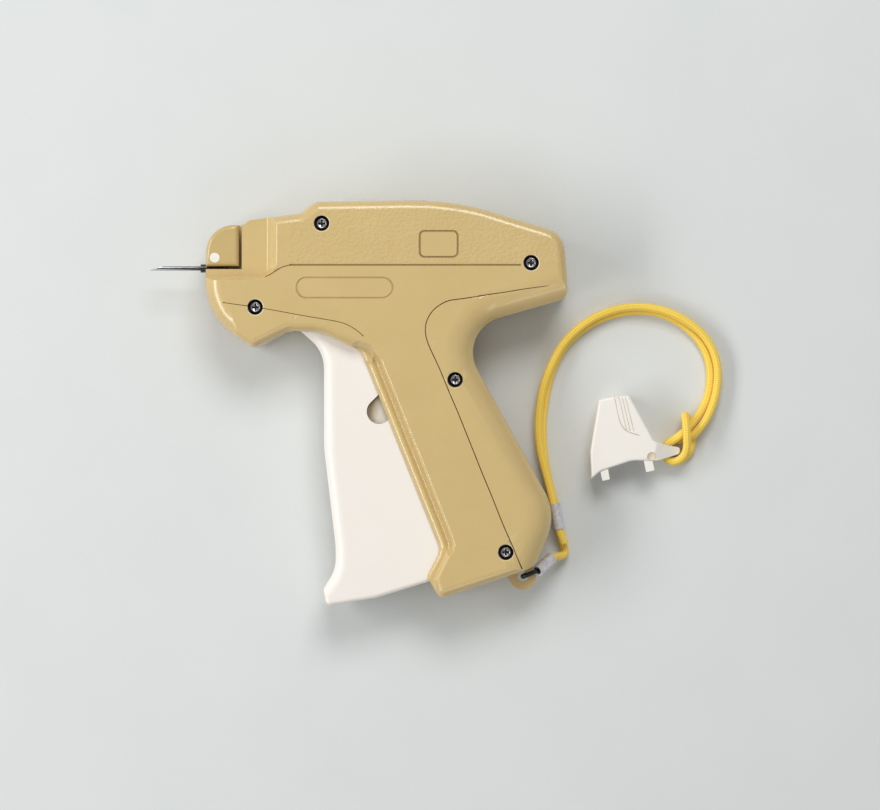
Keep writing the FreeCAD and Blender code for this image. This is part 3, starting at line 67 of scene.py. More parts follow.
# Camera straight above the tool, as the photograph was taken.
def overhead_camera():
    centre = spot(PHOTO_WIDE / 2, PHOTO_HIGH / 2, PARTING)
    bpy.ops.object.camera_add(location=centre + Vector((0, 0, CAMERA_HEIGHT)), rotation=(0, 0, 0))
    camera = bpy.context.object
    camera.name = "copy_stand_camera"
    camera.data.sensor_width = SENSOR
    camera.data.lens = SENSOR * CAMERA_HEIGHT / (PHOTO_WIDE * PIXEL)
    camera.data.clip_start = 0.01
    bpy.context.scene.camera = camera


overhead_camera()


def deselect():
    if bpy.context.object and bpy.context.object.mode != "OBJECT":
        bpy.ops.object.mode_set(mode="OBJECT")
    bpy.ops.object.select_all(action="DESELECT")


def pick(obj):
    deselect()
    obj.select_set(True)
    bpy.context.view_layer.objects.active = obj


def body_of(node):
    for body, nodes in frame["record"]["behaviour"]["bodies"].items():
        if node in nodes:
            return body
    return "root"


def smooth_skin(node, angle=32):
    """A welded copy of a CAD node, with soft shading across its rounded edges."""
    source = frame["nodes"][node]
    skin = bpy.data.objects.new(node + "_skin", source.data.copy())
    bpy.context.scene.collection.objects.link(skin)
    pick(skin)
    bpy.ops.object.mode_set(mode="EDIT")
    bpy.ops.mesh.select_all(action="SELECT")
    bpy.ops.mesh.remove_doubles(threshold=0.000002)
    bpy.ops.mesh.customdata_custom_splitnormals_clear()
    bpy.ops.object.mode_set(mode="OBJECT")
    soften(skin, angle)
    return skin


def soften(piece, angle=32):
    """Smooth shading across rounded edges that leaves the flat faces flat."""
    pick(piece)
    bpy.ops.object.shade_smooth_by_angle(angle=math.radians(angle))
    weigh = piece.modifiers.new("weigh", "WEIGHTED_NORMAL")
    weigh.keep_sharp = True
    bpy.ops.object.modifier_apply(modifier=weigh.name)
    level_normals(piece.data)


def level_normals(mesh):
    """Holds the shading dead flat where a roll meets a level face."""
    level = {vertex for face in mesh.polygons if face.normal.z > 0.9999 for vertex in face.vertices}
    normals = [corner.vector.copy() for corner in mesh.corner_normals]
    for face in mesh.polygons:
        if face.normal.z > 0.85:
            for index in face.loop_indices:
                if mesh.loops[index].vertex_index in level and normals[index].z > 0.85:
                    normals[index] = Vector((0, 0, 1))
    mesh.normals_split_custom_set(normals)


def dress(piece, node, finish):
    """Gives a piece its finish and lets it stand for a CAD node."""
    piece.data.materials.clear()
    piece.data.materials.append(finish)
    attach(piece, body_of(node))
    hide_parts(node)
    return piece


# Finishes.
def blank_finish(name):
    finish = bpy.data.materials.new(name)
    finish.use_nodes = True
    tree = finish.node_tree
    return finish, tree, tree.nodes["Principled BSDF"]


def add(tree, kind, **settings):
    made = tree.nodes.new(kind)
    for key, value in settings.items():
        setattr(made, key, value)
    return made


def feed(tree, made, values):
    """Sets sockets by name: a number, a colour, or another node's output."""
    for name, value in values.items():
        if isinstance(value, bpy.types.NodeSocket):
            tree.links.new(value, made.inputs[name])
        else:
            made.inputs[name].default_value = value
    return made


def object_place(tree):
    return add(tree, "ShaderNodeTexCoord").outputs["Object"]


def noise(tree, place, scale, detail=2.0, rough=0.5):
    made = add(tree, "ShaderNodeTexNoise")
    feed(tree, made, {"Vector": place, "Scale": scale, "Detail": detail, "Roughness": rough})
    return made.outputs["Fac"]


def figure(tree, operation, first, second=0.0, third=0.0):
    made = add(tree, "ShaderNodeMath", operation=operation)
    for index, value in enumerate((first, second, third)):
        if isinstance(value, bpy.types.NodeSocket):
            tree.links.new(value, made.inputs[index])
        else:
            made.inputs[index].default_value = value
    return made.outputs[0]


def span(tree, value, low, high, to_low=0.0, to_high=1.0):
    made = add(tree, "ShaderNodeMapRange")
    feed(tree, made, {"Value": value, "From Min": low, "From Max": high, "To Min": to_low, "To Max": to_high})
    return made.outputs["Result"]


def blended(tree, share, first, second):
    made = add(tree, "ShaderNodeMix", data_type="RGBA")
    tree.links.new(share, made.inputs[0])
    for index, value in ((6, first), (7, second)):
        if isinstance(value, bpy.types.NodeSocket):
            tree.links.new(value, made.inputs[index])
        else:
            made.inputs[index].default_value = value
    return made.outputs[2]


def relief(tree, height, strength, distance, under=None):
    made = add(tree, "ShaderNodeBump")
    feed(tree, made, {"Height": height, "Strength": strength, "Distance": distance})
    if under is not None:
        tree.links.new(under, made.inputs["Normal"])
    return made.outputs["Normal"]


def moulded_finish(name, light, dark, roughness, fine=0.25, coat=0.0):
    """Injection-moulded plastic: a faint cloudiness, fine tool marks and a soft gloss."""
    finish, tree, shader = blank_finish(name)
    place = object_place(tree)
    cloud = span(tree, noise(tree, place, 70.0, 4.0, 0.6), 0.32, 0.68)
    speck = noise(tree, place, 2600.0, 2.0, 0.6)
    feed(tree, shader, {
        "Base Color": blended(tree, cloud, light, dark),
        "Roughness": span(tree, noise(tree, place, 240.0, 3.0), 0.3, 0.7, roughness - 0.02, roughness + 0.03),
        "Normal": relief(tree, speck, fine, 0.00004),
    })
    shader.inputs["Coat Weight"].default_value = coat
    shader.inputs["Coat Roughness"].default_value = 0.16
    return finish


# A paler tan for the painted highlight streaks on the top rear.
TAN_HIGHLIGHT = tone(232, 214, 170)
# Areas of the housing, in metres: the leather grain, the smooth label panel in it, and the top rear where paler
# streaks are painted as highlight.
GRAINED_X = (-0.0590, 0.0440)
GRAINED_Y = (0.0408, 0.0700)
LABEL_X = (-0.0122, 0.0006)
LABEL_Y = (0.0433, 0.0520)
HIGHLIGHT_STREAK_X = (0.018, 0.041, 0.006)
HIGHLIGHT_STREAK_Y = (0.044, 0.060, 0.004)


def housing_finish(name, light, deep):
    """Tan plastic, leather-grained above the long groove and satin below it, with paler streaks at the top rear
    as painted highlight.
    """
    finish, tree, shader = blank_finish(name)
    place = object_place(tree)
    parts = add(tree, "ShaderNodeSeparateXYZ")
    tree.links.new(place, parts.inputs[0])
    x, y = parts.outputs[0], parts.outputs[1]

    def inside(value, low, high, soft=0.0006):
        up = span(tree, value, low - soft, low + soft)
        down = span(tree, value, high - soft, high + soft, 1.0, 0.0)
        return figure(tree, "MULTIPLY", up, down)

    upper = figure(tree, "MULTIPLY", inside(x, *GRAINED_X), inside(y, *GRAINED_Y))
    label = figure(tree, "MULTIPLY", inside(x, *LABEL_X), inside(y, *LABEL_Y))
    bare = figure(tree, "SUBTRACT", 1.0, label)
    share = figure(tree, "MULTIPLY", span(tree, upper, 0.0, 1.0, 0.12, 1.0), bare)
    hide = add(tree, "ShaderNodeTexVoronoi", feature="SMOOTH_F1")
    warp = noise(tree, place, 500.0, 2.0)
    bent = add(tree, "ShaderNodeVectorMath", operation="ADD")
    push = add(tree, "ShaderNodeVectorMath", operation="SCALE")
    tree.links.new(warp, push.inputs[0])
    push.inputs["Scale"].default_value = 0.0008
    tree.links.new(place, bent.inputs[0])
    tree.links.new(push.outputs[0], bent.inputs[1])
    feed(tree, hide, {"Vector": bent.outputs[0], "Scale": 950.0, "Smoothness": 0.6})
    grain = figure(tree, "MULTIPLY", hide.outputs["Distance"], share)
    fine = relief(tree, noise(tree, place, 2600.0, 2.0, 0.6), 0.22, 0.00004)
    skin = relief(tree, grain, 0.7, 0.00022, fine)

    cloud = span(tree, noise(tree, place, 55.0, 4.0, 0.6), 0.3, 0.7)
    base = blended(tree, cloud, light, deep)
    pits = span(tree, hide.outputs["Distance"], 0.25, 0.7, 0.0, 0.16)
    base = blended(tree, figure(tree, "MULTIPLY", pits, share), base, deep)
    # Painted highlight: paler diagonal streaks over the top rear.
    streak = add(tree, "ShaderNodeMapping")
    streak.inputs["Rotation"].default_value = (0.0, 0.0, math.radians(28))
    streak.inputs["Scale"].default_value = (1.0, 14.0, 6.0)
    tree.links.new(place, streak.inputs["Vector"])
    lines = span(tree, noise(tree, streak.outputs[0], 160.0, 2.0), 0.70, 0.74)
    highlight_streaks = figure(tree, "MULTIPLY", inside(x, *HIGHLIGHT_STREAK_X), inside(y, *HIGHLIGHT_STREAK_Y))
    base = blended(tree, figure(tree, "MULTIPLY", lines, highlight_streaks), base, TAN_HIGHLIGHT)
    feed(tree, shader, {
        "Base Color": base,
        "Roughness": span(tree, noise(tree, place, 200.0, 3.0), 0.3, 0.7, 0.32, 0.42),
        "Normal": skin,
    })
    shader.inputs["Coat Weight"].default_value = 0.8
    shader.inputs["Coat Roughness"].default_value = 0.13
    return finish


def painted_window_floor_shade():
    """The trigger recess's floor: brown painted shade under its front wall, pale toward the handle."""
    finish, tree, shader = blank_finish("window_floor_shade")
    parts = add(tree, "ShaderNodeSeparateXYZ")
    tree.links.new(object_place(tree), parts.inputs[0])
    slant = figure(tree, "MULTIPLY", parts.outputs[1], 0.35)
    far = span(tree, figure(tree, "SUBTRACT", parts.outputs[0], slant), -0.0262, -0.0226)
    feed(tree, shader, {
        "Base Color": blended(tree, far, tone(150, 130, 98), tone(214, 206, 190)),
        "Roughness": 0.45,
    })
    return finish


def steel_finish(name, shade, roughness, along=(1.0, 1.0, 1.0), scale=900.0, metal=1.0):
    """Bare or plated steel with fine lines from grinding or drawing."""
    finish, tree, shader = blank_finish(name)
    place = object_place(tree)
    drawn = add(tree, "ShaderNodeMapping")
    drawn.inputs["Scale"].default_value = along
    tree.links.new(place, drawn.inputs["Vector"])
    lines = noise(tree, drawn.outputs[0], scale, 3.0, 0.6)
    darker = tuple(value * 0.72 for value in shade[:3]) + (1.0,)
    feed(tree, shader, {
        "Base Color": blended(tree, span(tree, lines, 0.3, 0.7), shade, darker),
        "Metallic": metal,
        "Roughness": span(tree, lines, 0.3, 0.7, roughness - 0.06, roughness + 0.08),
        "Normal": relief(tree, lines, 0.2, 0.00002),
    })
    return finish


def braid_finish():
    """Plaited polyester: yellow yarns with deeper orange painted as shade between them, from the cord's own UV
    map.
    """
    finish, tree, shader = blank_finish("yellow_braid")
    around = add(tree, "ShaderNodeUVMap", uv_map="braid")
    parts = add(tree, "ShaderNodeSeparateXYZ")
    tree.links.new(around.outputs[0], parts.inputs[0])
    u, v = parts.outputs[0], parts.outputs[1]
    fuzz = noise(tree, object_place(tree), 3200.0, 3.0, 0.7)
    patch = span(tree, noise(tree, object_place(tree), 45.0, 2.0), 0.35, 0.65)
    rise = add(tree, "ShaderNodeAttribute", attribute_name="yarn_height")
    # Painted shade: deeper orange where the yarns sink between one another.
    deep = span(tree, rise.outputs["Fac"], 0.15, 0.75)
    base = blended(tree, deep, tone(240, 184, 50), tone(255, 230, 104))
    base = blended(tree, figure(tree, "MULTIPLY", patch, 0.22), base, tone(250, 206, 66))
    threads = figure(tree, "SINE", figure(tree, "MULTIPLY", figure(tree, "ADD", u, v), 260.0))
    hair = relief(tree, fuzz, 0.35, 0.00006, relief(tree, threads, 0.18, 0.00003))
    feed(tree, shader, {"Base Color": base, "Roughness": 0.78, "Normal": hair})
    shader.inputs["Sheen Weight"].default_value = 0.25
    shader.inputs["Sheen Roughness"].default_value = 0.5
    return finish


FINISHES = {
    "tan": housing_finish("tan_moulded_grain", tone(210, 183, 123), tone(206, 178, 118)),
    # The needle cover: the housing tan made darker, as painted shade.
    "cover": housing_finish("tan_cover_painted_shade", tone(199, 173, 113), tone(195, 168, 109)),
    "ivory": moulded_finish("ivory_moulded", tone(243, 236, 227), tone(242, 235, 226), 0.40, 0.1, 0.12),
    "cap": moulded_finish("white_cap_moulded", tone(245, 240, 232), tone(243, 238, 229), 0.36, 0.2, 0.4),
    # Darker cap tones for the rib grooves, the scoop's edge and the dimple: painted shade.
    "cap_line": moulded_finish("cap_line_painted_shade", tone(228, 218, 200), tone(222, 211, 192), 0.5, 0.2),
    "dimple": moulded_finish("cap_dimple_shade", tone(226, 212, 188), tone(220, 205, 180), 0.5, 0.2),
    # Painted shade for the trigger recess's floor and walls.
    "window_floor": painted_window_floor_shade(),
    "window": moulded_finish("window_shade", tone(150, 130, 104), tone(142, 122, 97), 0.5, 0.2),
    # Darker tan for the moulded lines: painted shade in the grooves.
    "groove": moulded_finish("groove_shade", tone(132, 104, 58), tone(120, 93, 50), 0.6, 0.2),
    "line": moulded_finish("line_shade", tone(178, 150, 96), tone(170, 142, 90), 0.6, 0.2),
    # Pale tan on the screw recesses' chamfered rims: a painted highlight.
    "rim": moulded_finish("screw_rim_painted_highlight", tone(236, 220, 178), tone(228, 210, 166), 0.45, 0.2),
    "lever": moulded_finish("white_inner_moulded", tone(240, 238, 230), tone(230, 226, 215), 0.45, 0.2),
    "lock": moulded_finish("lock_white_moulded", tone(244, 240, 230), tone(236, 230, 216), 0.35, 0.15),
    "black": moulded_finish("black_loop_moulded", tone(26, 25, 24), tone(18, 17, 17), 0.42, 0.3),
    "dark": moulded_finish("dark_hub_moulded", tone(46, 42, 38), tone(34, 31, 29), 0.26, 0.2, 0.6),
    "screw": steel_finish("plated_screw", tone(196, 190, 192), 0.24),
    "recess": moulded_finish("screw_recess_painted_shade", tone(40, 32, 24), tone(30, 24, 18), 0.6, 0.2),
    "needle": steel_finish("polished_needle", tone(104, 102, 106), 0.20, (0.05, 1.0, 1.0), 1800.0),
    "bevel": steel_finish("ground_bevel_painted_highlight", tone(232, 234, 240), 0.30, (0.05, 1.0, 1.0), 1800.0, 0.6),
    "pin": steel_finish("ground_pin", tone(186, 186, 188), 0.3),
    "spring": steel_finish("drawn_spring_wire", tone(150, 150, 154), 0.32),
    "ferrule": steel_finish("crimped_ferrule", tone(238, 236, 240), 0.40, (1.0, 1.0, 1.0), 700.0, 0.45),
    "braid": braid_finish(),
}


# Smooth lines, and the shapes swept and turned from them.
def spline_points(route):
    """A smooth line, read from a NURBS spline laid along a given route."""
    curve = bpy.data.curves.new("smooth_line", "CURVE")
    curve.dimensions = "3D"
    line = curve.splines.new("NURBS")
    line.points.add(len(route) - 1)
    for place, point in zip(line.points, route):
        place.co = (*point, 1.0)
    line.order_u = 3
    line.use_endpoint_u = True
    curve.resolution_u = 24
    holder = bpy.data.objects.new("smooth_line", curve)
    bpy.context.scene.collection.objects.link(holder)
    mesh = bpy.data.meshes.new_from_object(holder)
    points = [vertex.co.copy() for vertex in mesh.vertices]
    bpy.data.objects.remove(holder)
    return points


def evenly(points, step):
    """The same line with its points an even step apart."""
    lengths = [0.0]
    for before, after in zip(points, points[1:]):
        lengths.append(lengths[-1] + (after - before).length)
    count = max(2, round(lengths[-1] / step))
    spaced = []
    index = 0
    for number in range(count + 1):
        want = lengths[-1] * number / count
        while index < len(points) - 2 and lengths[index + 1] < want:
            index += 1
        share = (want - lengths[index]) / max(lengths[index + 1] - lengths[index], 1e-9)
        spaced.append(points[index].lerp(points[index + 1], share))
    return spaced, lengths[-1]


def ring_faces(rings, count):
    """The faces of a closed body made of rings of corners: its side, then its two ends."""
    faces = []
    for ring in range(rings - 1):
        low, high = ring * count, ring * count + count
        for turn in range(count):
            after = (turn + 1) % count
            faces.append((low + turn, low + after, high + after, high + turn))
    faces.append(tuple(reversed(range(count))))
    faces.append(tuple(range((rings - 1) * count, rings * count)))
    return faces


def solid(name, mesh):
    """A new object from a closed mesh, with its faces turned outward."""
    made = bpy.data.objects.new(name, mesh)
    bpy.context.scene.collection.objects.link(made)
    pick(made)
    bpy.ops.object.mode_set(mode="EDIT")
    bpy.ops.mesh.select_all(action="SELECT")
    bpy.ops.mesh.normals_make_consistent(inside=False)
    bpy.ops.object.mode_set(mode="OBJECT")
    return made


def cutter(name, corners, rings, finish):
    """A closed body of rings of corners, in the finish that its cut leaves."""
    mesh = bpy.data.meshes.new(name)
    mesh.from_pydata(corners, [], ring_faces(rings, len(corners) // rings))
    mesh.materials.append(FINISHES[finish])
    return solid(name, mesh)


SWEEP_STEP = 0.0006
TURNED_SIDES = 40


def swept_cutter(name, line, profile, finish, fades=(0.0, 0.0), lift=0.0):
    """A bar along a line, with (aside, rise) corners, its ends lifted clear over the fades."""
    path, length = evenly(spline_points(line), SWEEP_STEP)
    corners = []
    for number, point in enumerate(path):
        ahead = path[min(number + 1, len(path) - 1)] - path[max(number - 1, 0)]
        aside = Vector((-ahead.y, ahead.x, 0)).normalized()
        run = length * number / (len(path) - 1)
        clear = sum(lift * max(0.0, 1 - away / fade) ** 2
                    for away, fade in zip((run, length - run), fades) if fade)
        corners += [point + aside * out + Vector((0, 0, rise + clear)) for out, rise in profile]
    return cutter(name, corners, len(path), finish)


def groove_cutter(name, line, width, depth, finish="groove"):
    """A thin upright strip along a line on the surface, which cuts a moulded line; its walls take the given
    finish, by default a darker tan as painted shade.
    """
    half = width / 2
    foot = half * 0.6
    profile = [(half, 0.001), (-half, 0.001), (-foot, -depth), (foot, -depth)]
    return swept_cutter(name, line, profile, finish)


def turned_cutter(name, centre, profile, finish):
    """A round body from (radius, rise) corners, turned about an upright line."""
    corners = []
    for radius, rise in profile:
        for turn in range(TURNED_SIDES):
            angle = 2 * math.pi * turn / TURNED_SIDES
            corners.append(centre + Vector((radius * math.cos(angle), radius * math.sin(angle), rise)))
    return cutter(name, corners, len(profile), finish)


def carve(piece, tool):
    """Cuts a tool's shape out of a piece and clears the tool away."""
    pick(piece)
    cutting = piece.modifiers.new("cut", "BOOLEAN")
    cutting.operation = "DIFFERENCE"
    cutting.solver = "EXACT"
    cutting.material_mode = "TRANSFER"
    cutting.object = tool
    bpy.ops.object.modifier_apply(modifier=cutting.name)
    bpy.data.objects.remove(tool)


# The housing's screws and moulded lines, in places of the photograph.
SCREW_PIXELS = [(257.1, 308.1), (322.8, 225.1), (530.3, 264.2), (455.2, 380.0), (505.2, 550.9)]
RECESS_REACH = 0.00285
RIM_RING = [(0.0001, -0.0004), (0.0025, -0.0004), (0.0033, 0.0002), (0.0001, 0.0002)]
CHIN_LINE = [(224.9, 303.6), (240, 305.6), (257.0, 308.1), (277, 311.4), (298.1, 315.4), (327.7, 320.4),
             (340.0, 322.6), (348.0, 325.2), (354.0, 328.6), (359.6, 332.6), (364.4, 337.0)]
GRIP_LINE = [(551.8, 286.5), (539.4, 287.9), (520.2, 290.6), (506.8, 293.0), (491.5, 295.1), (477.2, 297.5),
             (464.7, 299.4), (457.1, 300.4), (449.4, 301.3), (442.7, 304.0), (436.0, 308.5), (431.3, 313.3),
             (427.4, 320.0), (425.5, 326.7), (425.5, 334.3), (427.0, 341.0), (429.8, 348.2), (434.1, 357.3),
             (439.9, 369.7), (450.4, 395.5), (457.1, 410.8), (465.8, 432.5), (474.5, 454.2), (483.1, 475.9),
             (491.8, 496.5), (499.4, 516.1), (504.8, 529.1), (511.3, 543.2), (515.1, 552.9),
             (518.4, 560.6, 0.0264), (521.4, 567.6, 0.0252)]
JOIN_LINE = [(266.5, 278.2), (272.0, 276.0), (276.5, 272.8), (281.5, 269.6), (286.5, 267.4), (292.0, 266.4)]
# The rolled lip along the trigger's slot and the chin's roll, with sections in millimetres.
LIP_LINE = [(360.6, 351.0), (362.6, 354.6), (364.2, 358), (366.2, 363), (368.2, 368), (371.0, 375),
            (375.0, 385), (381.0, 400), (389.0, 420), (397.0, 440), (405.0, 460), (413.0, 480),
            (421.0, 500), (425.0, 510), (429.0, 520), (432.2, 528), (435.0, 535), (437.0, 540),
            (438.6, 545), (439.0, 550), (438.2, 555)]
LIP_FADES = (0.0062, 0.003)
LIP_LIFT = 0.0062
LIP_BEAD = [(-1.5, 21.2), (0.0, 21.8), (0.3, 22.14), (0.6, 22.42), (0.9, 22.66), (1.2, 22.86), (1.5, 23.0),
            (1.8, 23.09), (2.05, 23.11), (2.3, 23.04), (2.6, 22.86), (2.9, 22.66), (3.2, 22.52), (3.5, 22.50),
            (3.8, 22.66), (4.1, 23.1), (4.4, 23.8), (4.7, 24.75), (5.0, 25.7), (5.3, 26.4), (5.6, 26.8),
            (5.9, 26.96), (6.2, 27.03), (6.2, 28.5), (-1.5, 28.5)]
CHIN_EDGE = [(207.4, 270.0), (207.4, 281.4), (207.5, 286), (208.0, 292), (208.8, 296), (210.0, 300),
             (211.6, 305), (213.8, 310), (216.4, 315), (219.8, 320), (224.0, 325), (229.0, 330),
             (235.4, 335), (242.6, 340), (248.4, 344)]
CHIN_FADES = (0.0, 0.013)
CHIN_LIFT = 0.004
CHIN_ROLL = [(-1.5, 21.5), (0.0, 22.6), (0.5, 23.7), (1.0, 24.45), (1.5, 25.05), (2.0, 25.52), (2.5, 25.9),
             (3.0, 26.22), (3.5, 26.48), (4.0, 26.68), (4.5, 26.83), (5.0, 26.93), (5.5, 26.99), (6.0, 27.03),
             (6.0, 28.5), (-1.5, 28.5)]
# The screw heads' top, dish and cross.
HEAD_TOP = 0.0253
HEAD_DISH = [(0.0001, -0.00052), (0.0008, -0.00024), (0.0014, -0.00004), (0.00155, -0.00001), (0.0017, -0.00006),
             (0.00182, -0.00018), (0.00195, -0.00036), (0.00195, 0.0006), (0.0001, 0.0006)]
CROSS_REACH = 0.00125
# West, east, north and south limits of the lines that take the paler painted line shade.
MARKS = (288, 524, 228, 270)


def shade_marks(piece):
    """Gives the long groove and the panel outline a darker tan as painted shade."""
    west, east, north, south = MARKS
    piece.data.materials.append(FINISHES["line"])
    for face in piece.data.polygons:
        px = ORIGIN_PIXEL[0] + face.center.x / PIXEL
        py = ORIGIN_PIXEL[1] - face.center.y / PIXEL
        if FLANK - 0.0005 < face.center.z < FLANK - 0.00002 and face.material_index == 0:
            if west < px < east and north < py < south:
                face.material_index = len(piece.data.materials) - 1


def millimetres(corners):
    return [(aside / 1000, rise / 1000) for aside, rise in corners]


def cylinder_distance(point, place):
    """How far a point is from an upright line."""
    return (point - Vector((place.x, place.y, point.z))).length


def shade_recesses(piece, places, reach, top, finish, deep=0.0006):
    """Paints shade on the walls of sunk places, and on floors below a depth, with a darker finish."""
    piece.data.materials.append(finish)
    dark = len(piece.data.materials) - 1
    for face in piece.data.polygons:
        if face.center.z < top and (abs(face.normal.z) < 0.3 or face.center.z < top - deep):
            for place in places:
                if cylinder_distance(face.center, place) < reach:
                    face.material_index = dark


def housing():
    left = dress(smooth_skin("left_shell"), "left_shell", FINISHES["tan"])
    for name, line, profile, fades, lift in (
        ("lip_bead", LIP_LINE, LIP_BEAD, LIP_FADES, LIP_LIFT),
        ("chin_roll", CHIN_EDGE, CHIN_ROLL, CHIN_FADES, CHIN_LIFT),
    ):
        route = [spot(*point, 0) for point in line]
        carve(left, swept_cutter(name, route, millimetres(profile), "tan", fades, lift))
    for name, line, width, depth in (
        ("chin_line", CHIN_LINE, 0.00034, 0.0004),
        ("grip_line", GRIP_LINE, 0.00046, 0.0006),
        ("join_line", JOIN_LINE, 0.00040, 0.0004),
    ):
        carve(left, groove_cutter(name, [spot(*point) for point in line], width, depth))
    screws = [spot(*point) for point in SCREW_PIXELS]
    # A small chamfer round each screw recess, coloured a paler tan as a painted highlight.
    for screw in screws:
        carve(left, turned_cutter("rim", screw, RIM_RING, "rim"))
    soften(left)
    # Painted shade on the walls and floors of the screw recesses.
    shade_recesses(left, screws, RECESS_REACH, FLANK - 0.0003, FINISHES["recess"])
    shade_marks(left)
    dress(smooth_skin("right_shell"), "right_shell", FINISHES["tan"])
    dress(smooth_skin("needle_cover"), "needle_cover", FINISHES["cover"])


housing()

PLAIN_SKINS = {
    "housing_screws": "screw", "needle": "needle", "needle_hub": "dark", "needle_lock": "lock",
    "cutter_blade": "pin", "trigger": "ivory", "trigger_pivot_pin": "pin", "trigger_cross_pin": "pin",
    "drive_lever": "lever", "return_spring": "spring", "plunger": "lever", "push_rod": "pin",
    "feed_wheel": "lever", "feed_pawl": "spring", "check_spring": "spring", "upper_ferrule": "ferrule",
    "lower_ferrule": "ferrule", "lanyard_loop": "black", "needle_cap": "cap",
}
skins = {node: dress(smooth_skin(node), node, FINISHES[finish]) for node, finish in PLAIN_SKINS.items()}


def screw_heads():
    """Heads with a rounded edge, a shallow dish and a cross darkened with painted shade."""
    piece = skins["housing_screws"]
    places = [spot(*point, HEAD_TOP) for point in SCREW_PIXELS]
    for place in places:
        carve(piece, turned_cutter("dish", place, HEAD_DISH, "screw"))
    soften(piece)
    # Painted shade in the heads' crosses.
    shade_recesses(piece, places, CROSS_REACH, HEAD_TOP, FINISHES["recess"])


# The trigger's teardrop recess: its middle, the trigger's face and the recess's floor.
WINDOW = Vector((-0.0268, -0.01118, 0.0))
WINDOW_REACH = 0.0062
FLOOR_REACH = 0.0075
TRIGGER_FACE = 0.0209
TRIGGER_FLOOR = 0.0197


def trigger_window():
    """Painted shade on the walls and the floor of the trigger's teardrop recess."""
    shade_recesses(skins["trigger"], [WINDOW], WINDOW_REACH, TRIGGER_FACE, FINISHES["window"], 1.0)
    trigger = skins["trigger"].data
    trigger.materials.append(FINISHES["window_floor"])
    for face in trigger.polygons:
        if face.normal.z > 0.9 and abs(face.center.z - TRIGGER_FLOOR) < 0.0004:
            if cylinder_distance(face.center, WINDOW) < FLOOR_REACH:
                face.material_index = len(trigger.materials) - 1


# Where the needle's ground point ends, in the photograph.
BEVEL_END = 174.5


def needle_bevel():
    """The real ground face at the needle's point, made bright steel as a painted highlight."""
    needle = skins["needle"].data
    needle.materials.append(FINISHES["bevel"])
    for face in needle.polygons:
        if face.center.x < spot(BEVEL_END, 0).x and face.normal.z > 0.15:
            face.material_index = 1


screw_heads()
trigger_window()
needle_bevel()


# The cap's thumb scoop, dimple and ribs, cut with darker walls as painted shade.
CAP_TOP = 0.011
SCOOP_EDGE = [(614.8, 396.0), (617.2, 408.0), (619.4, 420.0), (623.6, 428.6), (630.6, 433.2), (640.0, 435.4)]
CAP_DIMPLE = (652.4, 457.0, 0.0109)
DIMPLE_ROUND = [(0.0001, -0.0006), (0.0009, -0.00045), (0.0016, -0.00010), (0.0020, 0.0003), (0.0001, 0.0003)]
CAP_RIBS = [
    [(619.4, 396.6), (623.0, 414.0), (627.0, 430.2)],
    [(622.6, 396.6), (626.6, 414.6), (630.6, 431.0)],
    [(625.8, 397.0), (630.4, 415.4), (634.4, 431.6)],
]


def cap_lines():
    piece = skins["needle_cap"]
    edge = [spot(*point, CAP_TOP) for point in SCOOP_EDGE]
    carve(piece, groove_cutter("scoop_edge", edge, 0.00040, 0.00026, "dimple"))
    carve(piece, turned_cutter("dimple", spot(*CAP_DIMPLE), DIMPLE_ROUND, "dimple"))
    for rib in CAP_RIBS:
        line = [spot(*point, CAP_TOP) for point in rib]
        carve(piece, groove_cutter("cap_rib", line, 0.00042, 0.00018, "cap_line"))
    soften(piece)


cap_lines()

